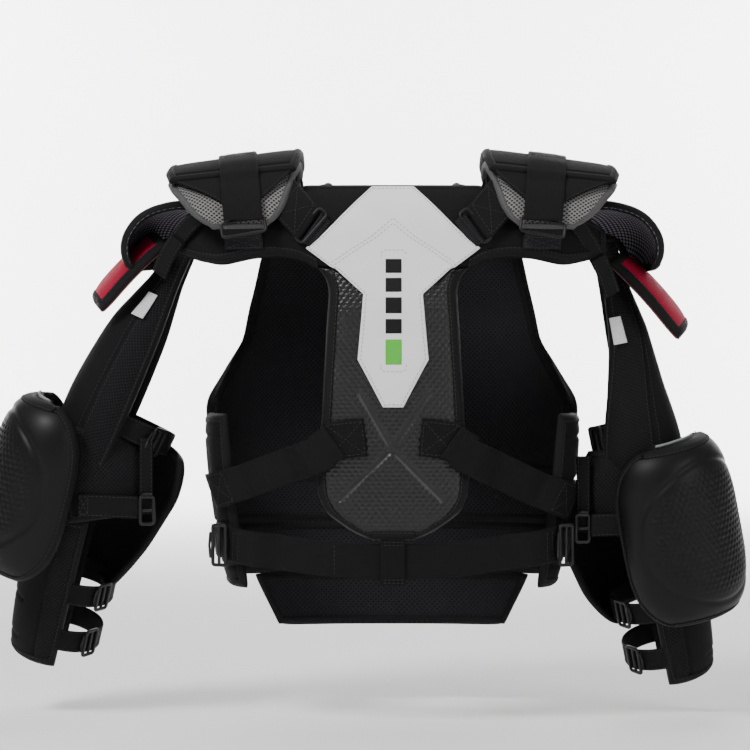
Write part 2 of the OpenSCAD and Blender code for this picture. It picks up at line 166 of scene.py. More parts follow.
class Look:
    """A small helper that wires one procedural material."""

    def __init__(self, name, color, rough, **inputs):
        self.mat = bpy.data.materials.new(name)
        self.mat.use_nodes = True
        self.t = self.mat.node_tree
        self.bsdf = self.t.nodes["Principled BSDF"]
        self.bsdf.inputs["Roughness"].default_value = rough
        for k, v in inputs.items():
            self.bsdf.inputs[k.replace("_", " ")].default_value = v
        self.base = color
        self.height = None

    def node(self, kind, **sets):
        n = self.t.nodes.new(kind)
        for k, v in sets.items():
            if k in n.inputs:
                n.inputs[k].default_value = v
            else:
                setattr(n, k, v)
        return n

    def link(self, a, b):
        self.t.links.new(a, b)

    def math(self, op, a, b=None, clamp=False):
        n = self.node("ShaderNodeMath", operation=op, use_clamp=clamp)
        for i, x in enumerate((a, b)):
            if x is None:
                continue
            if isinstance(x, (int, float)):
                n.inputs[i].default_value = x
            else:
                self.link(x, n.inputs[i])
        return n.outputs[0]

    def coords(self, uv):
        if uv:
            return self.node("ShaderNodeUVMap", uv_map="mm").outputs["UV"]
        return self.node("ShaderNodeTexCoord").outputs["Object"]

    def noise(self, scale, detail=3.0):
        n = self.node("ShaderNodeTexNoise", Scale=scale, Detail=detail)
        self.link(self.coords(False), n.inputs["Vector"])
        return n.outputs["Fac"]

    def holes(self, pitch, size):
        """Staggered round holes on the UV map, which is in millimetres: 1 in a hole."""
        m = self.node("ShaderNodeMapping")
        m.inputs["Rotation"].default_value = (0, 0, math.radians(45))
        m.inputs["Scale"].default_value = (1 / pitch, 1 / pitch, 1)
        self.link(self.coords(True), m.inputs["Vector"])
        v = self.node("ShaderNodeTexVoronoi", voronoi_dimensions="2D", Scale=1.0, Randomness=0.0)
        self.link(m.outputs["Vector"], v.inputs["Vector"])
        r = self.node("ShaderNodeMapRange", interpolation_type="SMOOTHSTEP")
        for k, x in (("From Min", size), ("From Max", size + 0.16), ("To Min", 1.0), ("To Max", 0.0)):
            r.inputs[k].default_value = x
        self.link(v.outputs["Distance"], r.inputs["Value"])
        return r.outputs["Result"]

    def ribs(self, pitch, axis=1):
        """Fine ribs across the UV map: 0 in a groove, 1 on a rib."""
        s = self.node("ShaderNodeSeparateXYZ")
        self.link(self.coords(True), s.inputs[0])
        w = self.math("SINE", self.math("MULTIPLY", s.outputs[axis], 2 * math.pi / pitch))
        return self.math("ADD", self.math("MULTIPLY", w, 0.5), 0.5)

    def shade(self, fac, low, high):
        """Colour runs from base * low to base * high by fac."""
        n = self.node("ShaderNodeMix", data_type="RGBA")
        n.inputs[6].default_value = (*[c * low for c in self.base], 1)
        n.inputs[7].default_value = (*[min(1, c * high) for c in self.base], 1)
        self.link(fac, n.inputs[0])
        return n.outputs[2]

    def finish(self, color, height=None, depth=0.3, rough=None):
        if color is not None:
            self.link(color, self.bsdf.inputs["Base Color"])
        if rough is not None:
            self.link(rough, self.bsdf.inputs["Roughness"])
        if height is not None:
            b = self.node("ShaderNodeBump", Strength=1.0, Distance=depth * MM)
            self.link(height, b.inputs["Height"])
            self.link(b.outputs["Normal"], self.bsdf.inputs["Normal"])
        return self.mat


def air_mesh(name, color, pitch, size, dark, depth, rough):
    """Knitted spacer mesh: round holes in a staggered grid, over a darker ground."""
    k = Look(name, color, rough, Sheen_Weight=0.012, Sheen_Roughness=0.5, Specular_IOR_Level=0.12)
    h = k.holes(pitch, size)
    fibre = k.noise(900, 2)
    solid = k.math("SUBTRACT", 1.0, h)
    tone = k.math("MULTIPLY", solid, k.math("ADD", k.math("MULTIPLY", fibre, 0.6), 0.6), clamp=True)
    height = k.math("ADD", solid, k.math("MULTIPLY", fibre, 0.25))
    return k.finish(k.shade(tone, dark, 1.15), height, depth)


def leather(name, color, rough=0.42, grain=1500, low=0.86, depth=0.06, spec=0.5):
    """Synthetic leather: fine pebble grain, a little uneven gloss and tone."""
    k = Look(name, color, rough, Specular_IOR_Level=spec)
    v = k.node("ShaderNodeTexVoronoi", Scale=grain, feature="SMOOTH_F1")
    k.link(k.coords(False), v.inputs["Vector"])
    big = k.noise(22, 4)
    fine = k.noise(600, 2)
    tone = k.math("ADD", k.math("MULTIPLY", big, 0.7), k.math("MULTIPLY", fine, 0.3))
    r = k.node("ShaderNodeMapRange")
    for key, x in (("To Min", rough - 0.07), ("To Max", rough + 0.12)):
        r.inputs[key].default_value = x
    k.link(big, r.inputs["Value"])
    height = k.math("ADD", v.outputs["Distance"], k.math("MULTIPLY", fine, 0.5))
    return k.finish(k.shade(tone, low, 1.08), height, depth, r.outputs["Result"])


def woven(name, color, pitch=0.9, rough=0.8, depth=0.16, sheen=0.01, cross=True):
    """Plain weave on the UV map, or ribbed webbing where cross is off."""
    k = Look(name, color, rough, Sheen_Weight=sheen, Sheen_Roughness=0.45, Specular_IOR_Level=0.11)
    a = k.ribs(pitch, 1)
    h = k.math("MULTIPLY", a, k.ribs(pitch * 1.15, 0)) if cross else a
    n = k.noise(700, 3)
    tone = k.math("ADD", k.math("MULTIPLY", h, 0.6), k.math("MULTIPLY", n, 0.5), clamp=True)
    return k.finish(k.shade(tone, 0.45, 1.5), k.math("ADD", h, k.math("MULTIPLY", n, 0.5)), depth)


def plastic(name, color, rough=0.38):
    """Moulded plastic with a fine spark-eroded grain."""
    k = Look(name, color, rough, Specular_IOR_Level=0.28)
    n = k.noise(2200, 2)
    return k.finish(k.shade(k.noise(60, 3), 0.85, 1.2), n, 0.03)


def thread(name, color):
    k = Look(name, color, 0.6, Specular_IOR_Level=0.25)
    n = k.noise(2500, 2)
    return k.finish(k.shade(n, 0.7, 1.15), n, 0.08)


def dotted(name):
    """Dark lining whose holes show a pale foam behind it."""
    k = Look(name, (0.02, 0.018, 0.022), 0.8, Specular_IOR_Level=0.15)
    h = k.holes(4.6, 0.27)
    tone = k.math("ADD", k.math("MULTIPLY", h, 0.9), k.math("MULTIPLY", k.noise(500, 2), 0.1), clamp=True)
    return k.finish(k.shade(tone, 0.35, 13.0), k.math("SUBTRACT", 1.0, h), 0.4)


LOOKS = {
    "emboss": leather("emboss", (0.006, 0.006, 0.0066), 0.34, 1700, 0.75, 0.06, 0.4),
    "cover": woven("cover", (0.0065, 0.0065, 0.0072), 0.8, 0.78, 0.14),
    "black_mesh": air_mesh("black_mesh", (0.008, 0.008, 0.0092), 3.1, 0.27, 0.15, 0.4, 0.7),
    "grey_mesh": air_mesh("grey_mesh", (0.165, 0.16, 0.156), 3.6, 0.26, 0.1, 0.45, 0.7),
    "red_mesh": air_mesh("red_mesh", (0.34, 0.003, 0.03), 3.0, 0.2, 0.35, 0.4, 0.65),
    "lining": air_mesh("lining", (0.013, 0.013, 0.015), 4.0, 0.2, 0.35, 0.4, 0.8),
    "white": leather("white", (0.73, 0.73, 0.722), 0.42, 1300, 0.93, 0.05),
    "grey_leather": leather("grey_leather", (0.12, 0.122, 0.127), 0.42, 1300, 0.85, 0.06),
    "cap": leather("cap", (0.0045, 0.0045, 0.005), 0.42, 1500, 0.7, 0.06, 0.17),
    "tape": woven("tape", (0.0075, 0.0075, 0.008), 0.7, 0.7, 0.12, 0.01, False),
    "webbing": woven("webbing", (0.0055, 0.0055, 0.006), 1.3, 0.72, 0.3, 0.01, False),
    "hardware": plastic("hardware", (0.008, 0.008, 0.009)),
    "thread": thread("thread", (0.022, 0.022, 0.024)),
    "white_thread": thread("white_thread", (0.33, 0.335, 0.35)),
    "mark": leather("mark", (0.006, 0.006, 0.006), 0.5, 1300, 0.9, 0.02, 0.2),
    "green": leather("green", (0.07, 0.42, 0.035), 0.3, 1300, 0.9, 0.02),
    "dotted": dotted("dotted"),
    "lining_strap": air_mesh("lining_strap", (0.015, 0.015, 0.017), 2.4, 0.24, 0.25, 0.4, 0.7),
    "pale_tape": woven("pale_tape", (0.2, 0.205, 0.21), 0.7, 0.7, 0.12, 0.03, False),
    "grey_tape": woven("grey_tape", (0.075, 0.0745, 0.074), 0.7, 0.75, 0.12, 0.02, False),
    "plate": plastic("plate", (0.03, 0.03, 0.032), 0.45),
    "wire": plastic("wire", (0.005, 0.005, 0.0055), 0.42),
    "tag": woven("tag", (0.7, 0.705, 0.71), 0.5, 0.6, 0.05, 0.03),
}

# ---- mesh building ------------------------------------------------------------


def make(name, verts, faces, look, body, uv=None):
    """Mesh object from millimetre arrays; uv is one (u, v) per vertex, in millimetres."""
    me = bpy.data.meshes.new(name)
    verts = np.asarray(verts, float)
    me.from_pydata((verts * MM).tolist(), [], [tuple(int(i) for i in f) for f in faces])
    if uv is not None:
        layer = me.uv_layers.new(name="mm")
        idx = np.empty(len(me.loops), int)
        me.loops.foreach_get("vertex_index", idx)
        layer.data.foreach_set("uv", np.asarray(uv, float)[idx].ravel())
    me.polygons.foreach_set("use_smooth", [True] * len(me.polygons))
    me.materials.append(LOOKS[look])
    me.validate()
    me.update()
    ob = bpy.data.objects.new(name, me)
    bpy.context.collection.objects.link(ob)
    if body:
        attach(ob, body)
    return ob


def grid_faces(nu, nv, base, flip):
    i, j = np.meshgrid(np.arange(nu), np.arange(nv), indexing="ij")
    n = nv + 1
    f = np.stack([i * n + j, (i + 1) * n + j, (i + 1) * n + j + 1, i * n + j + 1], -1).reshape(-1, 4) + base
    return f[:, ::-1] if flip else f


def shell_faces(out, inn):
    """Faces of a closed shell, the outer grid, the inner grid and the strip between, and the rim's points."""
    nu, nv = out.shape[0] - 1, out.shape[1] - 1
    n = (nu + 1) * (nv + 1)
    rim = [i * (nv + 1) for i in range(nu)] + [nu * (nv + 1) + j for j in range(nv)]
    rim += [i * (nv + 1) + nv for i in range(nu, 0, -1)] + list(range(nv, 0, -1))
    a, b = np.array(rim), np.roll(rim, -1)
    up = np.cross(out[1, 0] - out[0, 0], out[0, 1] - out[0, 0]) @ (out[0, 0] - inn[0, 0]) > 0
    side = np.stack([b, a, a + n, b + n] if up else [a, b, b + n, a + n], -1)
    return np.concatenate([grid_faces(nu, nv, 0, not up), grid_faces(nu, nv, n, up), side]), rim


def sweep_faces(p, closed):
    """Faces round a section carried along a path, wound outward, with flat ends where it is open."""
    m, k = p.shape[:2]
    i, j = np.meshgrid(np.arange(m if closed else m - 1), np.arange(k), indexing="ij")
    i2, j2 = (i + 1) % m, (j + 1) % k
    faces = np.stack([i * k + j, i2 * k + j, i2 * k + j2, i * k + j2], -1).reshape(-1, 4)
    v = p.reshape(-1, 3)
    a, b, d = (v[faces[:, c]] - v.mean(0) for c in range(3))
    inward = (np.cross(a, b) * d).sum() < 0
    faces = [tuple(f) for f in (faces[:, ::-1] if inward else faces)]
    if not closed:
        ends = [tuple(range(k))[::-1], tuple(range((m - 1) * k, m * k))]
        faces += [end[::-1] if inward else end for end in ends]
    return faces


def path_length(p):
    return np.concatenate([[0], np.cumsum(np.linalg.norm(np.diff(p, axis=0), axis=-1))])


def grid_normals(p):
    n = np.cross(np.gradient(p, axis=0), np.gradient(p, axis=1))
    return n / np.maximum(np.linalg.norm(n, axis=-1, keepdims=True), 1e-9)


def sample(g, u, v):
    """Smooth (Catmull-Rom) sample of a grid field at u, v in 0..1."""
    def weights(t, n):
        x = np.clip(t, 0, 1) * (n - 1)
        i = np.minimum(x.astype(int), n - 2)
        f = x - i
        ids = np.clip(np.stack([i - 1, i, i + 1, i + 2]), 0, n - 1)
        w = np.stack([-f + 2 * f**2 - f**3, 2 - 5 * f**2 + 3 * f**3,
                      f + 4 * f**2 - 3 * f**3, -(f**2) + f**3]) / 2
        return ids, w

    u, v = np.broadcast_arrays(np.asarray(u, float), np.asarray(v, float))
    iu, wu = weights(u, g.shape[0])
    iv, wv = weights(v, g.shape[1])
    out = 0
    for a in range(4):
        for b in range(4):
            out = out + (wu[a] * wv[b])[..., None] * g[iu[a], iv[b]]
    return out


def arc_length(p, axis):
    d = np.linalg.norm(np.diff(p, axis=axis), axis=-1)
    z = np.zeros_like(np.take(d, [0], axis=axis))
    return np.concatenate([z, np.cumsum(d, axis=axis)], axis=axis)


CLOTH_CELL = 7.0       # millimetres between points of the coarse pad that the cloth run blows up
CLOTH_FRAMES = 14


def cloth_swell(outer, inner, cap, pressure, name):
    """Blows a closed coarse pad up with cloth, its rim held, and returns how far each outer point moved."""
    n = outer.shape[0] * outer.shape[1]
    faces, ids = shell_faces(outer, inner)
    points = np.concatenate([outer.reshape(-1, 3), inner.reshape(-1, 3)])
    ob = make("sim_" + name, points, faces, "cover", None)
    held = ob.vertex_groups.new(name="held")
    held.add(ids + [i + n for i in ids], 1.0, "REPLACE")
    held.add(list(set(range(n, 2 * n)) - {i + n for i in ids}), 0.6, "REPLACE")
    c = ob.modifiers.new("cloth", "CLOTH")
    s = c.settings
    s.quality, s.mass, s.use_pressure, s.uniform_pressure_force = 4, 0.25, True, pressure
    s.tension_stiffness = s.compression_stiffness = 12
    s.bending_stiffness, s.vertex_group_mass = 0.4, "held"
    s.effector_weights.gravity = 0
    c.collision_settings.use_collision = c.collision_settings.use_self_collision = False
    c.point_cache.frame_start, c.point_cache.frame_end = 1, CLOTH_FRAMES
    scene = bpy.context.scene
    for f in range(1, CLOTH_FRAMES + 1):
        scene.frame_set(f)
    dg = bpy.context.evaluated_depsgraph_get()
    ev = ob.evaluated_get(dg).data
    co = np.empty(len(ev.vertices) * 3)
    ev.vertices.foreach_get("co", co)
    moved = co.reshape(-1, 3)[:n].reshape(outer.shape) / MM - outer
    bpy.data.objects.remove(ob)
    scene.frame_set(1)
    size = np.linalg.norm(moved, axis=-1, keepdims=True)
    return moved * np.minimum(1, cap / np.maximum(size, 1e-6))


def follow(ob, blend):
    """Bakes a piece's placement into its mesh where blend, (body_a, body_b, start, end) in millimetres, is
    given.
    """
    if blend:
        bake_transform(ob)


def unit_grid(nu, nv):
    return np.meshgrid(np.linspace(0, 1, nu + 1), np.linspace(0, 1, nv + 1), indexing="ij")


RIM_DIP = 0.4          # share of the thickness that each face loses at the very rim


class Pad:
    """A closed padded panel between two surfaces given over u, v in 0..1, in millimetres."""

    def __init__(self, name, body, outer, inner, look, res=1.6, swell=0, pressure=4, relief=None, nodes=(),
                 slot=None, fill=0.6, round_r=4.0, inner_look=None, zone=None, blend=None):
        self.name, self.body, self.bend = name, body, blend
        probe = np.linspace(0, 1, 33)
        size_u = arc_length(outer(probe, probe * 0 + 0.5), 0)[-1]
        size_v = arc_length(outer(probe * 0 + 0.5, probe), 0)[-1]
        self.size = (size_u, size_v)
        nu, nv = max(8, int(size_u / res)), max(8, int(size_v / res))
        u, v = unit_grid(nu, nv)
        out, inn = outer(u, v), inner(u, v)
        n_out = grid_normals(out)
        if ((out - inn) * n_out).sum() < 0:
            n_out = -n_out
        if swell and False:
            out = out + n_out * (swell * 0.7 * crown(u, v, 3))[..., None]
        elif swell:
            a, b = unit_grid(max(6, int(size_u / CLOTH_CELL)), max(6, int(size_v / CLOTH_CELL)))
            out = out + sample(cloth_swell(outer(a, b), inner(a, b), swell, pressure, name), u, v)
        # the rim rounds over towards the middle of the thickness
        su, sv = arc_length(out, 0), arc_length(out, 1)
        near = np.minimum(np.minimum(su, su[-1:] - su), np.minimum(sv, sv[:, -1:] - sv))
        dip = 1 - np.sqrt(np.clip(1 - (1 - np.clip(near / round_r, 0, 1)) ** 2, 0, 1))
        dip = n_out * (dip * np.linalg.norm(out - inn, axis=-1) * RIM_DIP)[..., None]
        out, inn = out - dip, inn + dip
        self.out, self.inn, self.n, self.su, self.sv = out.copy(), inn.copy(), n_out, su, sv
        if relief is not None:
            fade = np.clip((near - 2) / 3, 0, 1)
            out = out + n_out * (relief(u, v, out, su, sv) * fade)[..., None]
        uv = np.stack([su - su[nu // 2], sv - sv[:, nv // 2:nv // 2 + 1]], -1).reshape(-1, 2)
        points = np.concatenate([out.reshape(-1, 3), inn.reshape(-1, 3)])
        self.ob = make(name, points, shell_faces(out, inn)[0], look, None if blend else body,
                       np.concatenate([uv, uv]))
        if inner_look:
            self.dress(nu, nv, inner_look, zone)
        follow(self.ob, blend)
        if nodes:
            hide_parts(*nodes)

    def dress(self, nu, nv, inner_look, zone):
        """Gives the inner face its own look, and the outer face a second one where zone(u, v) says."""
        me = self.ob.data
        me.materials.append(LOOKS[inner_look])
        k = nu * nv
        idx = np.zeros(len(me.polygons), int)
        idx[k:2 * k] = 1
        if zone:
            me.materials.append(LOOKS[zone[0]])
            i, j = np.meshgrid(np.arange(nu), np.arange(nv), indexing="ij")
            idx[:k] = np.where(zone[1]((i + 0.5) / nu, (j + 0.5) / nv).ravel(), 2, 0)
        me.polygons.foreach_set("material_index", idx)

    def at(self, u, v, side=1, lift=0.0):
        g = self.out if side > 0 else self.inn
        n = sample(self.n, u, v)
        n = n / np.linalg.norm(n, axis=-1, keepdims=True)
        return sample(g, u, v) + side * lift * n

    def rim_loop(self, step=3.0, inset=0.0):
        """u, v round the whole rim, at a distance inside it."""
        return self.inside(self.rim_path(((0, 0), (1, 0), (1, 1), (0, 1), (0, 0)), step)[:-1], inset)

    def inside(self, uv, d):
        """Moves u, v points of the rim inwards by d millimetres."""
        lu = sample(self.su[..., None], uv[:, 0] * 0 + 1, uv[:, 1])[:, 0]
        lv = sample(self.sv[..., None], uv[:, 0], uv[:, 1] * 0 + 1)[:, 0]
        eu, ev = np.minimum(0.49, d / np.maximum(lu, 1)), np.minimum(0.49, d / np.maximum(lv, 1))
        return np.stack([np.clip(uv[:, 0], eu, 1 - eu), np.clip(uv[:, 1], ev, 1 - ev)], -1)

    def binding(self, width=9.0, look="tape", proud=0.9, path=None):
        """Tape folded over the rim, or over a stretch of it, its edges stitched down."""
        uv = self.rim_loop() if path is None else self.rim_path(path)
        closed = path is None
        rows = []
        mid = (self.at(*uv.T) + self.at(*uv.T, -1)) / 2
        for side in (1, -1):
            ring = []
            for d, h in ((width, 0.15), (width * 0.93, proud), (width * 0.5, proud * 1.2), (1.2, proud)):
                q = self.inside(uv, d)
                ring.append(self.at(q[:, 0], q[:, 1], side, h))
            rows.append(ring)
        e = mid - (self.at(*self.inside(uv, 4).T) + self.at(*self.inside(uv, 4).T, -1)) / 2
        e = e / np.maximum(np.linalg.norm(e, axis=-1, keepdims=True), 1e-6)
        loop = rows[0] + [mid + e * proud * 1.3] + rows[1][::-1]
        p = np.stack(loop, 1)
        n = p.shape[1]
        length = path_length(mid)
        faces = sweep_faces(p, closed)
        t = np.tile(np.linspace(0, 2 * width, n), (len(p), 1))
        uvs = np.stack([t, np.tile(length[:, None], (1, n))], -1).reshape(-1, 2)
        body = None if self.bend else self.body
        ob = make(self.name + "_binding", p.reshape(-1, 3), faces, look, body, uvs)
        follow(ob, self.bend)
        self.stitch_path(self.inside(uv, width * 0.82), "thread", closed, proud, "_binding_stitch")
        return ob

    def rim_path(self, corners, step=3.0):
        """u, v along straight stretches of the rim between the given u, v corners."""
        out = []
        for a, b in zip(corners, corners[1:]):
            ln = abs(a[0] - b[0]) * self.size[0] + abs(a[1] - b[1]) * self.size[1]
            k = np.arange(max(3, int(ln / step))) / max(3, int(ln / step))
            out.append(np.stack([mix(a[0], b[0], k), mix(a[1], b[1], k)], -1))
        return np.concatenate(out + [np.array([corners[-1]], float)])

    def stitch_path(self, uv, look="thread", closed=False, lift=0.2, tag="_stitch"):
        pts = self.at(uv[:, 0], uv[:, 1], 1, lift)
        n = sample(self.n, uv[:, 0], uv[:, 1])
        ob = stitches(self.name + tag, pts, n, look, None if self.bend else self.body, closed)
        if ob:
            follow(ob, self.bend)

    def row(self, share, across=False, span=(0.05, 0.95), count=60, lift=0.1, tag="_row"):
        """A straight row of stitches along u at a share of v, or across u at a share of it."""
        t = np.linspace(*span, count)
        uv = (t * 0 + share, t) if across else (t, t * 0 + share)
        self.stitch_path(np.stack(uv, -1), "thread", False, lift, tag)


def resample(pts, normals, step, closed):
    """Points and unit normals at even steps along a path."""
    if closed:
        pts = np.concatenate([pts, pts[:1]])
        normals = np.concatenate([normals, normals[:1]])
    s = path_length(pts)
    t = np.arange(step / 2, s[-1], step)
    out = np.stack([np.interp(t, s, pts[:, k]) for k in range(3)], -1)
    n = np.stack([np.interp(t, s, normals[:, k]) for k in range(3)], -1)
    return out, n / np.maximum(np.linalg.norm(n, axis=-1, keepdims=True), 1e-9)


STITCH_LENGTH, STITCH_GAP, THREAD_R = 3.0, 1.3, 0.32


def stitches(name, pts, nrm, look, body, closed):
    """A row of short raised thread runs along a path."""
    c, n = resample(np.asarray(pts), np.asarray(nrm), STITCH_LENGTH + STITCH_GAP, closed)
    if len(c) < 2:
        return None
    d = np.gradient(c, axis=0)
    d = d / np.maximum(np.linalg.norm(d, axis=-1, keepdims=True), 1e-9)
    w = np.cross(n, d)
    verts, faces = [], []
    rings = ((-0.5, 0.35), (-0.3, 1.0), (0.3, 1.0), (0.5, 0.35))
    k = 6
    for a, q in rings:
        for j in range(k):
            t = 2 * math.pi * j / k
            verts.append(c + d * a * STITCH_LENGTH + (w * math.cos(t) + n * math.sin(t)) * THREAD_R * q)
    v = np.stack(verts, 1)
    m = v.shape[1]
    quad = []
    for a in range(len(rings) - 1):
        for j in range(k):
            quad.append((a * k + j, a * k + (j + 1) % k, (a + 1) * k + (j + 1) % k, (a + 1) * k + j))
    ends = [tuple(range(k))[::-1], tuple(range((len(rings) - 1) * k, len(rings) * k))]
    for i in range(len(c)):
        faces += [tuple(x + i * m for x in f) for f in quad + ends]
    return make(name, v.reshape(-1, 3), faces, look, body)


def tube(name, path, section, look, body, closed, normals):
    """Sweeps a closed section (pairs along side and normal) down a path of points."""
    path = np.asarray(path, float)
    if closed:
        d = np.roll(path, -1, 0) - np.roll(path, 1, 0)
    else:
        d = np.gradient(path, axis=0)
    d = d / np.linalg.norm(d, axis=-1, keepdims=True)
    n = np.broadcast_to(np.asarray(normals, float), path.shape)
    n = n - (n * d).sum(-1, keepdims=True) * d
    n = n / np.maximum(np.linalg.norm(n, axis=-1, keepdims=True), 1e-9)
    w = np.cross(d, n)
    sec = np.asarray(section, float)
    p = path[:, None] + w[:, None] * sec[None, :, :1] + n[:, None] * sec[None, :, 1:]
    m, k = p.shape[:2]
    uv = np.stack([np.tile(sec[:, 0], (m, 1)), np.tile(path_length(path)[:, None], (1, k))], -1)
    return make(name, p.reshape(-1, 3), sweep_faces(p, closed), look, body, uv.reshape(-1, 2))


def round_rect(w, h, r, step=6):
    out = []
    for sx, sy, a0 in ((1, 1, 0), (-1, 1, 90), (-1, -1, 180), (1, -1, 270)):
        for k in range(step + 1):
            a = math.radians(a0 + 90 * k / step)
            out.append((sx * (w / 2 - r) + r * math.cos(a), sy * (h / 2 - r) + r * math.sin(a)))
    return np.array(out)


def bar_section(w, h):
    return round_rect(w, h, min(w, h) * 0.35, 2)


def placed(points, origin, right, up):
    """2D or 3D local points laid out along right, up and their normal."""
    right = np.asarray(right, float) / np.linalg.norm(right)
    up = np.asarray(up, float)
    up = up - right * (up @ right)
    up = up / np.linalg.norm(up)
    out = np.cross(right, up)
    p = np.asarray(points, float)
    if p.shape[-1] == 2:
        p = np.concatenate([p, np.zeros_like(p[..., :1])], -1)
    return np.asarray(origin) + p[..., :1] * right + p[..., 1:2] * up + p[..., 2:] * out


def buckle(name, origin, right, up, body, w, h, bar, nodes=()):
    """Moulded ladder-lock: a rounded frame with a cross bar and a thumb lip."""
    right = np.asarray(right, float) / np.linalg.norm(right)
    up = np.asarray(up, float) / np.linalg.norm(up)
    out = np.cross(right, up)
    half = w / 2 - bar / 2
    rise = h / 2 + 0.6
    shapes = (("", round_rect(w - bar, h - bar, 2.6, 5), bar_section(bar, bar * 0.8), True),
              ("_bar0", [(-half, 0.0), (0, 0.0), (half, 0.0)], bar_section(bar * 0.9, bar * 0.7), False),
              ("_lip", [(-w * 0.3, rise, 0.8), (0, rise + 1, 1.4), (w * 0.3, rise, 0.8)],
               bar_section(2.6, 2.0), False))
    parts = [tube(name + tag, placed(path, origin, right, up), section, "hardware", body, closed, out)
             for tag, path, section, closed in shapes]
    if nodes:
        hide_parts(*nodes)


# ---- sewn patterns -------------------------------------------------------------


HEX_PITCH, HEX_SQUASH, HEX_DEPTH = 6.8, 0.72, 1.15


def hex_emboss(s, t):
    """Flattened hexagon cells pressed into foam: 0 on a cell's top, deepest in the lines between."""
    a, b = s / HEX_PITCH, t / (HEX_PITCH * HEX_SQUASH)
    best = None
    for ox, oy in ((0, 0), (0.5, math.sqrt(3) / 2)):
        x = (a - ox + 0.5) % 1 - 0.5
        y = (b - oy + math.sqrt(3) / 2) % math.sqrt(3) - math.sqrt(3) / 2
        d = np.maximum(np.abs(x), np.abs(x) * 0.5 + np.abs(y) * math.sqrt(3) / 2)
        best = d if best is None else np.minimum(best, d)
    line = np.clip((best - 0.33) / 0.17, 0, 1)
    return -HEX_DEPTH * line * line * (3 - 2 * line)


def dot_emboss(s, t, pitch, size, depth):
    """Raised round studs in a staggered grid."""
    out = 0
    for ox, oy in ((0, 0), (0.5, 0.866)):
        x = (s / pitch - ox + 0.5) % 1 - 0.5
        y = (t / pitch - oy + 0.866) % 1.732 - 0.866
        d = np.sqrt(x * x + y * y) / size
        out = np.maximum(out, np.sqrt(np.clip(1 - d * d, 0, 1)))
    return depth * out


GROOVE_DEPTH = 2.4


def groove(p, a, b, width):
    """A pressed channel along the straight line a-b seen in the X, Z plane."""
    a, b = np.array(a, float), np.array(b, float)
    q = p[..., [0, 2]] - a
    d = b - a
    t = np.clip((q @ d) / (d @ d), 0, 1)
    r = np.linalg.norm(q - t[..., None] * d, axis=-1) / width
    return -GROOVE_DEPTH * np.exp(-r * r * 2)


# ---- camera, floor and light -----------------------------------------------------

VIEW_CENTRE = Vector((-0.018, -0.11, -0.186))   # what the middle of the frame looks at
VIEW_DISTANCE = 2.6
FRAME_WIDTH = 0.75                              # metres across the frame at the back pad
FLOOR_GAP = 0.03                                # metres from the lowest point to the floor
SWEEP_HALF, SWEEP_BACK, SWEEP_R, SWEEP_TOP = 12.0, 7.0, 1.5, 9.0    # the floor that turns up into a wall
MIDDLE = (0, 0, -0.2)
# each lamp's place, what it points at, its size in metres and its power in watts
LAMPS = (("key", (-1.5, -1.7, 1.9), MIDDLE, 0.9, 85), ("fill", (1.8, -1.8, 0.7), MIDDLE, 1.4, 24),
         ("top", (0.2, 0.2, 2.4), MIDDLE, 1.2, 17), ("front", (0.3, 2.4, 1.2), MIDDLE, 1.6, 14),
         ("backdrop_left", (-3.2, 4.2, 1.2), (-1.0, 7.0, 0.3), 2.0, 640),
         ("backdrop_right", (3.2, 4.2, 1.2), (1.0, 7.0, 0.3), 2.0, 640))


def set_camera():
    cam = bpy.data.cameras.new("camera")
    cam.sensor_width = 36.0
    cam.lens = 36.0 * VIEW_DISTANCE / FRAME_WIDTH
    cam.clip_end = 50
    ob = bpy.data.objects.new("camera", cam)
    ob.location = VIEW_CENTRE - Vector((0, VIEW_DISTANCE, 0))
    ob.rotation_euler = (math.radians(90), 0, 0)
    bpy.context.collection.objects.link(ob)
    bpy.context.scene.camera = ob


def set_floor():
    floor_z = CAD_BOX[0][2] - FLOOR_GAP
    arc = [(SWEEP_BACK + SWEEP_R * (math.sin(a) - 1), floor_z + SWEEP_R * (1 - math.cos(a)))
           for a in np.linspace(0, math.pi / 2, 24)]
    prof = [(-SWEEP_HALF, floor_z)] + arc + [(SWEEP_BACK, SWEEP_TOP)]
    verts = [(x / MM, y / MM, z / MM) for x in (-SWEEP_HALF, SWEEP_HALF) for y, z in prof]
    k = len(prof)
    look = Look("floor_paint", (0.9, 0.895, 0.885), 0.9)
    LOOKS["floor"] = look.finish(look.shade(look.noise(1.5, 3), 0.99, 1.01))
    floor = make("floor", verts, [(i, i + 1, k + i + 1, k + i) for i in range(k - 1)], "floor", None)
    floor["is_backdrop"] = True


def set_light():
    world = bpy.data.worlds.new("studio")
    world.use_nodes = True
    world.node_tree.nodes["Background"].inputs["Color"].default_value = (0.95, 0.96, 1.0, 1)
    world.node_tree.nodes["Background"].inputs["Strength"].default_value = 0.36
    bpy.context.scene.world = world
    for name, at, aim, size, power in LAMPS:
        lamp = bpy.data.lights.new(name, "AREA")
        lamp.size, lamp.energy = size, power
        ob = bpy.data.objects.new(name, lamp)
        ob.location = at
        ob.rotation_euler = (Vector(aim) - Vector(at)).to_track_quat("-Z", "Y").to_euler()
        bpy.context.collection.objects.link(ob)


set_camera()
set_floor()
set_light()

# ---- back --------------------------------------------------------------------------

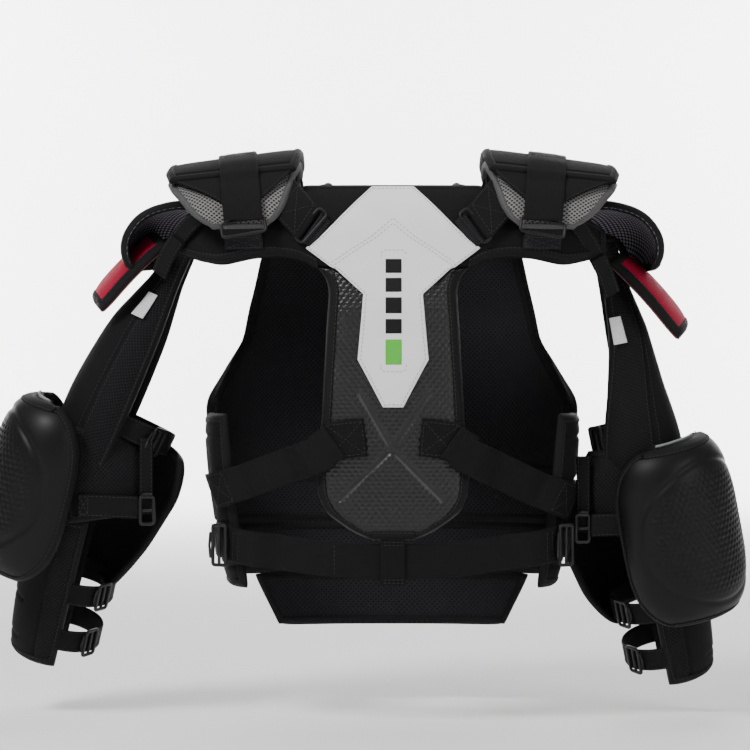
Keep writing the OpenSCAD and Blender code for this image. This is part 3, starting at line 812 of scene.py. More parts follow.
SPINE_HALF = ((-351, 17), (-345, 34), (-337, 47), (-323, 66), (-306, 74), (-281, 76), (-231, 70),
              (-141, 65), (-103, 62.5), (-91, 65.5), (-84, 70), (-79, 76))
SPINE_TOP = -79.0
YOKE_TOP = ((0, 1), (88, 1), (112, -8), (150, -26), (198, -33), (214, -43))
YOKE_LOW = ((0, -81), (74, -81), (81, -75), (93, -69.5), (111, -66), (140, -67), (171, -74),
            (198, -68), (214, -61))
OVERLAY_HALF = ((-217, 10), (-170, 35), (-108, 29.5), (-82.4, 57), (-80.8, 61.5), (-61.5, 86.5), (-6, 21))
OVERLAY_TOP, OVERLAY_FOOT = -6.0, -217.0
YOKE_END = 214.0
YOKE_JOIN = 75.0       # half the width of the stretch where the back pad hangs from the yoke
FLEX_CROSS = (-1, -261)
FLEX_ENDS = ((-33, -205), (36, -205), (-54, -312), (50, -312))


def layer(base, off, t, edge, k):
    """Outer and inner face of a layer t thick and off millimetres up; base(u, v, lift) gives points."""
    thick = crowned(t, edge, k)
    return lambda u, v: base(u, v, off + thick(u, v)), lambda u, v: base(u, v, off + 0 * u)


def height_pad(z0, z1, half, off, t, edge, k=6):
    """Layer over the back between two heights, where half(z) is half its width."""
    def base(u, v, lift):
        z = mix(z0, z1, v)
        return over(half(z) * (2 * u - 1), z, -1, lift)
    return layer(base, off, t, edge, k)


def round_pad(z0, z1, t0, t1, off, t, edge, k):
    """Layer round the form between two heights and the angles t0(z) and t1(z)."""
    def base(u, v, lift):
        z = mix(z0, z1, v)
        return round_form(mix(t0(z), t1(z), u), z, lift)
    return layer(base, off, t, edge, k)


def mirrored(fs, s):
    return tuple((lambda u, v, f=f: f(u, v) * np.array([s, 1.0, 1.0])) for f in fs)


def spine_relief(u, v, p, su, sv):
    x, z = p[..., 0], p[..., 2]
    cuts = sum(groove(p, FLEX_CROSS, end, 3.6) for end in FLEX_ENDS)
    return hex_emboss(x, z) * np.clip(1 + cuts / 1.2, 0, 1) + np.maximum(cuts, -2.6)


def make_spine():
    faces = height_pad(SPINE_TOP, -SPINE_LENGTH, lambda z: lookup(z, SPINE_HALF, 4), 0, BACK_THICK, 0.62, 10)
    spine = Pad("back_pad", "torso", *faces, "emboss", 1.05, relief=spine_relief, inner_look="lining",
                nodes=("spine_cover", "spine_foam", "spine_liner"), slot="black_mesh", fill=0.5, round_r=5)
    spine.binding(9.5, path=[(0, 0), (0, 1), (1, 1), (1, 0)])


def make_yoke():
    def base(u, v, lift):
        x = mix(-YOKE_END, YOKE_END, u)
        a = np.abs(x)
        return over(x, mix(lookup(a, YOKE_TOP, 5), lookup(a, YOKE_LOW, 7), v), -1, lift)
    yoke = Pad("yoke", "torso", *layer(base, 0, BACK_THICK, 0.62, 8), "cover", 1.6, inner_look="lining",
               nodes=("yoke_cover", "yoke_foam"), slot="black_mesh", fill=0.5, round_r=5)
    a = (YOKE_JOIN / YOKE_END + 1) / 2
    yoke.binding(9.5, path=[(1 - a, 1), (0, 1), (0, 0), (1, 0), (1, 1), (a, 1)])


def overlay_half(z):
    return lookup(z, OVERLAY_HALF, 0.6)


def on_overlay(points):
    """u, v on the overlay for points of the X, Z plane."""
    q = np.array(points, float)
    v = (q[:, 1] - OVERLAY_TOP) / (OVERLAY_FOOT - OVERLAY_TOP)
    return np.stack([(q[:, 0] / overlay_half(q[:, 1]) + 1) / 2, v], -1)


def make_overlay():
    faces = height_pad(OVERLAY_TOP, OVERLAY_FOOT, overlay_half, BACK_THICK + 0.3, 1.7, 1)
    panel = Pad("pale_overlay", "torso", *faces, "white", 0.8, nodes=("yoke_overlay",), slot="white_leather",
                fill=None, round_r=1.2)
    panel.stitch_path(panel.rim_loop(1.5, 3.2), "white_thread", True, 0.1, "_edge")
    k = np.linspace(0, 1, 24)[:, None]
    for s, tag in ((-1, "l"), (1, "r")):
        for d in (0, 3.2):
            top, end = np.array((0, -34 - d * 1.3)), np.array((s * (60 - d), -76 - d * 0.6))
            path = on_overlay(mix(top, end, k))
            panel.stitch_path(path, "white_thread", False, 0.1, f"_chevron_{tag}{int(d)}")
    frame_line = round_rect(25, 118, 5) + np.array([0.5, -123])
    panel.stitch_path(on_overlay(frame_line), "white_thread", True, 0.1, "_frame")


def make_badge():
    """Four plain bars and a green one, in a row down the overlay."""
    def plate(name, top, foot, look):
        def face(lift):
            return lambda u, v: over(mix(-7.5, 8.5, u), mix(top, foot, v), -1, lift)
        return Pad(name, "torso", face(BACK_THICK + 2.7), face(BACK_THICK + 1.6), look, 0.9, fill=None,
                   round_r=1.0)
    bars = [plate(f"badge_bar{k}", -73 - 19 * k, -87 - 19 * k, "mark") for k in range(4)]
    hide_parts("back_badge")
    plate("badge_green", -150, -175, "green")


def strap_pad(name, body, f, width, look="webbing", t=ELASTIC_T, res=2.0, nodes=(), sew=True, blend=None):
    """Webbing on a surface: f(u, w, off) places length share u and offset across w in millimetres."""
    def face(lift):
        return lambda u, v: f(u, width * (v - 0.5), lift + 0 * u)
    p = Pad(name, body, face(t), face(0), look, res, nodes=nodes, slot="webbing", fill=None, round_r=0.8,
            blend=blend)
    if sew:
        for v in (1.8 / width, 1 - 1.8 / width):
            p.row(v, span=(0, 1), count=30, lift=0.05, tag=f"_sew{int(v * 10)}")
    return p


def box_stitch(pad, u0, u1):
    """Sewn square with its diagonals over a stretch of a strap."""
    m = 3.0 / pad.size[1]
    c = [(u0, m), (u1, m), (u1, 1 - m), (u0, 1 - m)]
    k = np.linspace(0, 1, 12)[:, None]
    ring = np.concatenate([np.array(a) * (1 - k) + np.array(b) * k for a, b in zip(c, c[1:] + c[:1])])
    pad.stitch_path(ring, "thread", False, 0.15, "_box")
    for j, (a, b) in enumerate(((c[0], c[2]), (c[1], c[3]))):
        pad.stitch_path(np.array(a) * (1 - k) + np.array(b) * k, "thread", False, 0.2, f"_box{j}")


def back_line(x0, z0, x1, z1, off):
    """Strap line over the back between two places; off(u) is its height off the form."""
    d = np.array([z0 - z1, x1 - x0], float)
    d = d / np.linalg.norm(d)
    return lambda u, w, lift: over(mix(x0, x1, u) + d[0] * w, mix(z0, z1, u) + d[1] * w, -1, off(u) + lift)


DIAGONAL_END = {"left": -304.0, "right": -316.0}
WAIST_BARS = (0.02, 0.035, 0.965, 0.98, 0.315)
LOOP_BARS = (0.05, 0.12, 0.88, 0.95)


def make_diagonal(side, s):
    def off(u):
        start = mix(BACK_THICK + ELASTIC_T + 1.6, 3, ease(u * 5 - 0.9))
        return np.maximum(start, mix(3, RIB_THICK + 2.8, ease(u * 7 - 5.2)))

    line = back_line(s * 62, -260, s * 174, DIAGONAL_END[side], off)
    elastic = strap_pad(f"diagonal_strap_{side}", "torso", line, ELASTIC_W, nodes=(f"diagonal_strap_{side}",),
                        sew=False)
    box_stitch(elastic, 0.86, 0.985)
    line = back_line(s * 27, -247, s * 66, -251, lambda u: BACK_THICK + 0.4 + u * 0)
    tab = strap_pad(f"strap_tab_{side}", "torso", line, 38, sew=False, t=2.4,
                    nodes=("strap_tabs",) if s < 0 else ())
    box_stitch(tab, 0.06, 0.94)
    line = back_line(s * 56, -251, s * 74, -263, lambda u: BACK_THICK + 3.4 - 1.5 * u)
    strap_pad(f"strap_fold_{side}", "torso", line, 37, sew=False, t=2.6)


def make_waist():
    def waist(u, w, lift):
        x = mix(-158, 158, u)
        rise = (RIB_THICK + 0.5) * ease((np.abs(x) - 112) / 22)
        return over(x, WAIST_Z + 18 * (x / 156) ** 2 + w, -1, 3 + rise + lift)
    elastic = strap_pad("waist_strap", "torso", waist, ELASTIC_W, nodes=("waist_strap",), sew=False)
    for k, u in enumerate(WAIST_BARS):
        elastic.row(u, True, (0.08, 0.92), 12, tag=f"_bar{k}")
    upright = back_line(0, WAIST_Z + 23, 0, WAIST_Z - 23, lambda u: 5.6 + 0 * u)
    loop = strap_pad("waist_loop", "torso", upright, 25, nodes=("waist_loop",), sew=False)
    for k, u in enumerate(LOOP_BARS):
        loop.row(u, True, (0.1, 0.9), 8, tag=f"_bar{k}")
    for side, s in SIDES.items():
        o = over(s * 154, WAIST_Z + 17, -1, RIB_THICK + 7) + np.array([s * 10.0, 2.0, 0.0])
        buckle(f"waist_buckle_{side}", o, (0, 0, 1), (-0.86, s * -0.5, 0.0), "torso", 44, 19, 3.6,
               nodes=("waist_buckles",) if s < 0 else ())

        def tail(u, w, lift, s=s):
            t = mix(-27, -6, u)
            p = round_form(t, WAIST_Z + 20 + w + 0 * t, RIB_THICK + 3 + lift + 3 * (1 - u))
            return p * np.array([s, 1, 1.0])
        strap_pad(f"waist_tail_{side}", "torso", tail, ELASTIC_W - 3, sew=False)


# ---- frames of the moving parts ---------------------------------------------------


def turn(axis, deg):
    c, s = math.cos(math.radians(deg)), math.sin(math.radians(deg))
    return np.array({"x": ((1, 0, 0), (0, c, -s), (0, s, c)), "y": ((c, 0, s), (0, 1, 0), (-s, 0, c)),
                     "z": ((c, -s, 0), (s, c, 0), (0, 0, 1))}[axis])


class Arm:
    """Local frames of one arm, in millimetres: +X away from the wearer, +Y to the chest, +Z up."""

    def __init__(self, side):
        self.side, self.s, self.left = side, SIDES[side], side == "left"
        flip = np.array([self.s, 1, 1])

        def lean(joint):
            axis = JOINTS[joint + side]["axis"]
            return math.degrees(math.atan2(self.s * axis[2], axis[0]))
        self.out, self.fore = lean("arm_swing_"), lean("elbow_bend_")
        self.shoulder = np.array(JOINTS["arm_swing_" + side]["pos_m"]) / MM * flip
        self.elbow = np.array(JOINTS["elbow_bend_" + side]["pos_m"]) / MM * flip
        half_bend = turn("y", -(self.out + self.fore) / 2)
        self.frames = {
            "torso": (np.eye(3), np.zeros(3)),
            "shoulder": (np.eye(3), self.shoulder),
            "upper": (turn("y", -self.out), self.shoulder),
            "joint": (np.eye(3), self.elbow),
            "lower": (turn("y", -self.fore) @ turn("x", FORE_BEND), self.elbow),
            "cap": (half_bend @ turn("z", CAP_TURN[side]) @ turn("x", FORE_BEND / 2), self.elbow),
        }
        self.flip = flip

    def to(self, frame_name, p):
        r, o = self.frames[frame_name]
        return (np.asarray(p, float) @ r.T + o) * self.flip

    def fn(self, frame_name, f):
        return lambda *a: self.to(frame_name, f(*a))

    def aim(self, frame_name, d):
        return (np.asarray(d, float) @ self.frames[frame_name][0].T) * self.flip

    def pad(self, name, body, frame_name, f, t, look, **kw):
        """f(u, v, off) gives points; the pad lies between off = 0 and off = t(u, v)."""
        thick = t if callable(t) else (lambda u, v: t + 0 * u)
        body = body if body == "torso" else f"{body}_{self.side}"
        if "nodes" in kw:
            kw["nodes"] = tuple(n if n in frame["nodes"] else f"{n}_{self.side}" for n in kw["nodes"])
        return Pad(f"{name}_{self.side}", body, self.fn(frame_name, lambda u, v: f(u, v, thick(u, v))),
                   self.fn(frame_name, lambda u, v: f(u, v, 0 * u)), look, **kw)


FORE_BEND = 16.0
CAP_TURN = {"left": 36.0, "right": 0.0}
ARMS = {side: Arm(side) for side in SIDES}


def polar(r, a, z):
    a = np.radians(a)
    return spread(r * np.cos(a), r * np.sin(a), z)


def wire_ring(name, arm, origin, right, up, w, h, bar, nodes=()):
    """Bent-wire loop with round corners, on the torso."""
    o, r, q = arm.to("torso", origin), arm.aim("torso", right), arm.aim("torso", up)
    ob = tube(f"{name}_{arm.side}", placed(round_rect(w, h, 3.4, 6), o, r, q),
              round_rect(bar, bar, bar * 0.45, 3), "wire", "torso", True, np.cross(r, q))
    if nodes:
        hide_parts(*nodes)


# ---- shoulders -----------------------------------------------------------------------

FLOAT_X, FLOAT_RY, FLOAT_RZ, FLOAT_HALF, FLOAT_DROP = 162.0, 113.0, 72.0, 67.0, 0.135
FLOAT_SHARE = ((8, 0.36), (14, 0.56), (24, 0.72), (44, 0.9), (62, 1), (90, 1))


def float_x(x, a, off):
    """Point of the floating shoulder pad at x, at angle a: 180 at the back, 90 on top, 0 at the chest."""
    a = np.radians(a)
    rise = FLOAT_RZ + off - FLOAT_DROP * (x - FLOAT_X)
    return spread(x, (FLOAT_RY + off) * np.cos(a), ROUND_FROM + rise * np.sin(a))


def float_point(u, a, off):
    b = np.minimum(a, 180 - a)
    half = FLOAT_HALF * lookup(b, FLOAT_SHARE, 3)
    x = FLOAT_X - 8 * np.clip((50 - b) / 40, 0, 1) + half * (2 * u - 1)
    return float_x(x, a, off)


def make_floater(arm):
    pad = arm.pad("floater", "floater", "torso", lambda u, v, off: float_point(u, mix(172, 8, v), off),
                  crowned(10, 0.55), "grey_mesh", res=1.5, swell=2.5, pressure=6, nodes=("floater_pad",),
                  slot="grey_mesh", fill=0.6, inner_look="lining")
    pad.binding(5.5, "grey_tape", 0.7)

    def lid_at(u, v, off):
        return float_point(0.5 + (u - 0.5) * 1.02, mix(131, 50, v), 11.4 + off)

    def welt(u, v, p, su, sv):
        return pressed(1.3, np.minimum(v, 1 - v) * sv[:, -1:] - 12, 1.6)
    lid = arm.pad("floater_lid", "floater", "torso", lid_at, crowned(7.5, 0.75, 8), "cover", res=1.5, swell=3,
                  pressure=5, nodes=("floater_plate",), slot="black_cover", fill=0.7, inner_look="cover",
                  relief=welt)
    lid.binding(7.5)

    def gusset_at(u, v, off):
        half = mix(0.5, 0.12, v**1.4)
        lift = 13.4 - 2.2 * v**3 + off
        return float_point(mix(0.5, 0.44, v) + half * (2 * u - 1), mix(127, 159, v), lift)
    gusset = arm.pad("floater_gusset", "floater", "torso", gusset_at, 1.3, "cover", res=1.6,
                     fill=None, round_r=1)
    sides = gusset.rim_path(((0, 0.05), (0, 1), (1, 1), (1, 0.05)))
    gusset.stitch_path(gusset.inside(sides, 3.0), "thread", False, 0.1)

    def strap_at(u, w, off):
        a = mix(88, 168.5, u)
        top, low = mix(20.4, 18.6, ease((a - 118) / 14)), 15.4 - 1.6 * ease((a - 152) / 14)
        lift = mix(top, low, ease((a - 131) / 9))
        return arm.to("torso", float_x(mix(162, 149, u) + w, a, lift + off))
    name, body = f"floater_strap_{arm.side}", f"floater_{arm.side}"
    bend = ("torso", body, strap_at(1.0, 0.0, 0.0), strap_at(0.6, 0.0, 0.0))
    box_stitch(strap_pad(name, body, strap_at, 39, sew=False, res=1.8, nodes=(name,), blend=bend), 0.03, 0.3)


def make_anchor(arm):
    """The ring at the floating pad's strap, and the webbing that holds it to the yoke."""
    wire_ring("anchor_ring", arm, (149, -FLOAT_RY - 10, -39), (1, 0, -0.17), (0.05, 0.32, 0.95), 44, 15, 3.0,
              nodes=("anchor_rings",) if arm.left else ())

    def tab_at(u, w, off):
        lift = BACK_THICK + 1.0 + mix(11.5, 0, ease(u * 1.5)) + off
        return arm.to("torso", over(147 - u + w, mix(-40, -62, u), -1, lift))
    tab = strap_pad(f"anchor_tab_{arm.side}", "torso", tab_at, 37, "lining_strap", t=2.2, sew=False,
                    nodes=("anchor_tabs",) if arm.left else ())
    box_stitch(tab, 0.5, 0.95)


NECK_RUN = np.array([-0.76, -0.65])


def make_neck_strap(arm):
    """The slanting strap beside the neck with its own ring and tab, and a short upright web."""
    dx, dz = NECK_RUN

    def neck_at(u, w, off):
        x, z = 128 + 60 * u * dx - dz * w, -2 + 60 * u * dz + dx * w
        return arm.to("torso", over(x, np.minimum(z, 8), -1, BACK_THICK + mix(13, 4.5, u) + off))
    neck = strap_pad(f"neck_strap_{arm.side}", "torso", neck_at, 33, sew=False, t=2.4)
    box_stitch(neck, 0.55, 0.9)
    wire_ring("neck_ring", arm, over(81, -41, -1, BACK_THICK + 4.5), (dz, 0.12, -dx), (-dx, 0.2, -dz),
              39, 11, 2.8)

    def tab_at(u, w, off):
        x, z = 80 + dx * 11 * u - dz * w, -42 + dz * 11 * u + dx * w
        return arm.to("torso", over(x, z, -1, BACK_THICK + mix(3.6, 0.6, ease(u * 1.6)) + off))
    strap_pad(f"neck_tab_{arm.side}", "torso", tab_at, 32, "lining_strap", t=1.6, sew=False)

    def web_at(u, w, off):
        return arm.to("torso", spread(94 - off - 3 * u, -74 + 18 * u + w, 12 - 26 * u))
    strap_pad(f"neck_web_{arm.side}", "torso", web_at, 26, t=2.6)


def make_shoulder_strap(arm):
    def at(u, v, off):
        x = mix(62, 150, v)
        a = np.radians(mix(153, 27, u))
        return spread(x, (74 + off) * np.cos(a), ROUND_FROM + (56 + off - 0.38 * (x - 64)) * np.sin(a))

    def channels(u, v, p, su, sv):
        return pressed(1.5, (u * 6) % 1 - 0.5, 1 / 14)
    p = arm.pad("shoulder_strap", "torso", "torso", at, crowned(10.5, 0.6), "cover", swell=3,
                nodes=("shoulder_straps",) if arm.left else (), slot="black_mesh", fill=0.6,
                inner_look="lining", relief=channels)
    p.binding(8)


# where the outer flap's rear edge starts and ends, from the shoulder joint
FLAP_EDGE = {"left": ((13, 10), (80, -58)), "right": ((5, -9), (75, -86))}
CAP_RIM = ((-16, 0.86), (20, 0.88), (48, 0.97), (72, 1.0), (92, 0.95), (102, 0.86))


def make_cap(arm):
    def dome(u, v, off):
        a, y = mix(-16, 102, u), mix(-52, 56, v)
        tail = 60 * np.sqrt(np.clip(1 - ((y + 20) / 86) ** 2, 0.02, 1))
        r = np.where(y > -20, tail, 60 - 3 * ((y + 20) / 32) ** 2) * lookup(a, CAP_RIM, 6) + off
        b = np.radians(a)
        return np.stack([r * np.sin(b), y * (1 - 0.16 * np.abs(2 * u - 1) ** 3), r * np.cos(b)], -1)
    cap = arm.pad("shoulder_cap", "shoulder", "shoulder", dome, crowned(8.5, 0.6), "grey_leather", res=1.3,
                  swell=2.5, nodes=("deltoid_cap", "deltoid_lining"), slot="grey_shell", fill=0.6,
                  inner_look="dotted")
    cap.binding(8.5)
    for share in (0.3, 0.7):
        cap.row(share, span=(0.06, 0.94), tag=f"_row{int(share * 10)}")


FLAP_WIDTH = 92.0
FLAP_TILT = math.radians(15)


def make_flap(arm):
    """The outer flap: a bowed panel that hangs off the shoulder cap."""
    (x0, z0), (x1, z1) = FLAP_EDGE[arm.side]
    run = np.array([x1 - x0, 0, z1 - z0], float)
    length = np.linalg.norm(run)
    run = run / length
    out = np.array([-run[2], 0, run[0]])
    out = out if out[0] > 0 else -out
    across = np.array([0, math.cos(FLAP_TILT), 0]) + out * math.sin(FLAP_TILT)
    face = np.cross(run, across)
    face = face if face @ out > 0 else -face
    start = np.array([x0, -FLAP_WIDTH / 2, z0]) + across * FLAP_WIDTH / 2

    def flap(u, v, off):
        w = FLAP_WIDTH * (1 - 0.24 * np.clip((v - 0.72) / 0.28, 0, 1) ** 2.2) * (1 - 0.12 * (1 - v) ** 2)
        p = start + v[..., None] * length * run + ((u - 0.5) * w)[..., None] * across
        bow = 7 * (1 - (2 * u - 1) ** 2) + 3 * np.sin(v * math.pi)
        return p + (bow + off)[..., None] * face
    red = arm.pad("bicep_flap", "shoulder", "shoulder", flap, crowned(9, 0.6), "red_mesh", res=1.4, swell=3,
                  nodes=("bicep_plate",), slot="red_mesh", fill=0.6, inner_look="grey_leather")
    red.binding(8.5)


# control points of the edge web that carries the arm, from the yoke down to the arm pad
HANGER = {"left": ((190, -84, -20), (210, -78, -36), (229, -64, -58), (238, -54, -84)),
          "right": ((186, -84, -34), (200, -80, -54), (216, -66, -78), (224, -54, -104))}
HANGER_WIDTH, HANGER_STEP = 17, 3.4


def make_hangers(arm):
    """The edge web in two stretches: from the yoke to the cap, and from the cap to the arm pad."""
    pts = np.array(HANGER[arm.side], float)
    chord = pts[-1] - pts[0]
    side = np.array([-chord[2], 0, chord[0]])
    side = side / np.linalg.norm(side)

    def curve(t):
        shares = ((1 - t) ** 3, 3 * t * (1 - t) ** 2, 3 * t * t * (1 - t), t**3)
        return sum(np.asarray(share)[..., None] * point for share, point in zip(shares, pts))

    shoulder, upper = f"shoulder_{arm.side}", f"upper_arm_{arm.side}"
    for name, a, b, parent, child, low in (("yoke_hanger", 0, 0.62, "torso", shoulder, 0),
                                           ("arm_hanger", 0.5, 1, shoulder, upper, HANGER_STEP)):
        def at(u, w, off, a=a, b=b, low=low):
            back = np.array([0, 1, 0]) * (np.asarray(off) + low)[..., None]
            return arm.to("torso", curve(mix(a, b, u)) + np.asarray(w)[..., None] * side - back)
        p = strap_pad(f"{name}_{arm.side}", parent, at, HANGER_WIDTH, "tape", t=3.0, sew=False,
                      blend=(parent, child, at(0.1, 0.0, 0.0), at(0.9, 0.0, 0.0)))
        for e in (-1, 1):
            p.row(0.5 + e * 0.36, span=(0.03, 0.97), count=40, tag=f"_sew{e + 1}")


# ---- arms ----------------------------------------------------------------------------

UPPER_Z = (24.0, -206.0)
UPPER_R = {"left": ((-206, 54), (-162, 53), (-135, 51), (-100, 47), (-79, 43), (-62, 37), (-26, 25), (10, 22),
                    (24, 20)),
           "right": ((-206, 53), (-190, 50), (-139, 42), (-77, 36), (-50, 30), (-26, 25), (10, 23), (24, 21))}
UPPER_REAR = {"left": ((-206, 112), (-26, 108)), "right": ((-206, 142), (-165, 134), (-84, 104), (-26, 96))}
UPPER_FRONT = {"left": 112.0, "right": 98.0}


# share round the arm pad where its mesh panel ends, and of the second pressed line
MESH_SEAM = {"left": 0.2, "right": 0.3}
OUTER_SEAM = 0.62
TAG_PLACE = {"left": (-60, 15), "right": (-76, 2)}
BICEP_Z, BICEP_BUCKLE = -182.0, -148
BICEP_BULGE = {"left": 66, "right": 43}     # the left arm's strap hangs in a loose loop
OPEN_FROM, OPEN_TO = -104, -256             # the open side that a strap spans, in degrees


def make_upper_arm(arm):
    radius = lambda z: lookup(z, UPPER_R[arm.side], 8)
    rear = lambda z: lookup(z, UPPER_REAR[arm.side], 8)
    z0, z1 = UPPER_Z
    seam = MESH_SEAM[arm.side]

    def sleeve(u, v, off):
        z = mix(z0, z1 - 42 * (1 - ease(u / 0.42)), v)
        return polar(radius(z) - 10 + off, mix(-rear(z), UPPER_FRONT[arm.side], u), z)

    def seams(u, v, p, su, sv):
        return pressed(1.8, (u - seam) * su[-1:], 1.8) + pressed(1.4, (u - OUTER_SEAM) * su[-1:], 1.8)
    pad = arm.pad("arm_pad", "upper_arm", "upper", sleeve, crowned(10, 0.55, 8), "cover", res=1.5, swell=3,
                  nodes=("upper_arm_pad", "upper_arm_liner"), slot="black_cover", fill=0.6,
                  inner_look="lining", zone=("black_mesh", lambda u, v: u < seam), relief=seams)
    pad.binding(8.5)
    for d in (-1.0, 1.0):
        pad.row(seam + d * 3.4 / pad.size[0], True, (0.02, 0.98), 70, tag=f"_seam{int(d)}")

    # blank size tag sewn beside the rear edge
    zt, xt = TAG_PLACE[arm.side]
    r0 = float(radius(zt))
    a0 = -math.degrees(math.acos(xt / r0))

    def tag(u, v, off):
        z = mix(zt + 14, zt - 14, v)
        a = a0 + math.degrees(1 / r0) * 12.5 * (u - 0.5)
        return polar(radius(z) + 1.2 + off + 1.5 * v * v, a, z)
    arm.pad("size_tag", "upper_arm", "upper", tag, 0.7, "tag", res=1.2, fill=None, round_r=0.4, slot="badge")

    body, bulge = f"upper_arm_{arm.side}", BICEP_BULGE[arm.side]
    r1 = float(radius(BICEP_Z)) - 7

    def strap_at(u, w, off):
        r = mix(r1, bulge, np.sin(math.pi * u) ** 1.5) + off
        return arm.to("upper", polar(r, mix(OPEN_FROM, OPEN_TO, u), BICEP_Z + w) * np.array([1, 0.86, 1]))
    strap_pad(f"bicep_strap_{arm.side}", body, strap_at, 24, nodes=(f"bicep_strap_{arm.side}",))
    a = math.radians(BICEP_BUCKLE)
    u = (BICEP_BUCKLE - OPEN_FROM) / (OPEN_TO - OPEN_FROM)
    rb = mix(r1, bulge, math.sin(math.pi * u) ** 1.5) + 3.5
    o = arm.to("upper", (rb * math.cos(a), 0.86 * rb * math.sin(a), BICEP_Z - 2))
    buckle(f"bicep_buckle_{arm.side}", o, arm.aim("upper", (0, 0, 1)) * arm.s,
           arm.aim("upper", (-math.sin(a), math.cos(a), 0.06)), body, 31, 21, 3.4,
           nodes=(f"bicep_buckle_{arm.side}",))


CAP_SLIDE = {"left": 1.0, "right": -14.0}
STUD_PITCH, STUD_SIZE, STUD_HEIGHT = 6.6, 0.34, 1.0


def make_elbow(arm):
    def oval(v):
        return np.sqrt(np.clip(1 - np.abs(2 * v - 1) ** 3.4, 0, 1))

    def shell(u, v, off):
        a = -50 + 74 * (2 * u - 1) * (0.42 + 0.58 * oval(v))
        r = 62.5 + 27 * (1 - (2 * u - 1) ** 2) * oval(v) ** 0.8 + off
        return polar(r, a, mix(68, -118, v) + CAP_SLIDE[arm.side])

    def studs(u, v, p, su, sv):
        reach = np.sqrt(((2 * u - 1) / 0.74) ** 2 + ((2 * v - 1) / 0.8) ** 2)
        middle = len(su) // 2
        dots = dot_emboss(su - su[middle:middle + 1], sv, STUD_PITCH, STUD_SIZE, STUD_HEIGHT)
        return dots * ease((0.95 - reach) / 0.25) + pressed(1.6, reach - 1.0, 0.045)
    cap = arm.pad("elbow_cap", "elbow", "cap", shell, crowned(9.5, 0.55, 8), "cap", res=1.15,
                  nodes=("elbow_cap",), slot="black_shell", fill=0.7, inner_look="lining", relief=studs)
    cap.binding(8)
    top = cap.rim_path(((0.05, 0.0), (0.76, 0.0)))
    path = cap.at(top[:, 0], top[:, 1], 1, 1.2) + arm.aim("cap", (0, 0, 3.2))
    tube(f"elbow_piping_{arm.side}", path, round_rect(2.6, 2.6, 1.2, 3), "pale_tape", f"elbow_{arm.side}",
         False, sample(cap.n, top[:, 0], top[:, 1]))


def make_sling(arm):
    """The stretch panel behind the elbow, between the two arm pads, with its straps."""
    upper, fore = f"upper_arm_{arm.side}", f"forearm_{arm.side}"
    bend = (upper, fore, arm.to("joint", (0, 0, 34)), arm.to("joint", (0, 0, -34)))

    def sling(u, v, off):
        x = mix(16, -70, u) * (1 - 0.16 * np.abs(2 * v - 1) ** 2)
        z = mix(42, -40, v) - 8 * (1 - u) * (2 * v - 1)
        y = -47 + 30 * u**2.2 - 4 * np.sin(math.pi * v)
        return np.stack([x, y - off, z], -1)
    panel = arm.pad("elbow_sling", "upper_arm", "joint", sling, crowned(3.6, 0.6), "black_mesh", res=1.6,
                    fill=0.3, blend=bend)
    panel.binding(6)

    def upright(u, w, off):
        return arm.to("joint", spread(-66 + w, -36 - off - 3 * np.sin(math.pi * u), mix(38, -40, u)))
    strap_pad(f"sling_strap_{arm.side}", upper, upright, 14, blend=bend)

    def level(u, w, off):
        return arm.to("joint", spread(mix(2, -58, u), mix(-56, -44, u) - off, -30 + w - 3 * u))
    box_stitch(strap_pad(f"sling_band_{arm.side}", fore, level, 23), 0.02, 0.16)
    buckle(f"sling_buckle_{arm.side}", arm.to("joint", (-67, -43, -36)), (1.0, 0.2, 0.0), (0, 0, 1), fore,
           17, 31, 3.2)


FORE_Z = (-34.0, -205.0)
FORE_STRAPS = (-118.0, -172.0)
FORE_BUCKLE = -150
FORE_SEAM = 0.16       # share round the forearm pad where its mesh panel ends
WING_R = {"left": ((-128, 46), (-107, 52), (-60, 74), (-4, 93), (40, 99)),
          "right": ((-140, 58), (-96, 76), (-29, 92), (30, 84))}
WING_Z = {"left": (44, -124), "right": (18, -136)}


def fore_radius(z):
    z0, z1 = FORE_Z
    return mix(53, 42, (z - z0) / (z1 - z0))


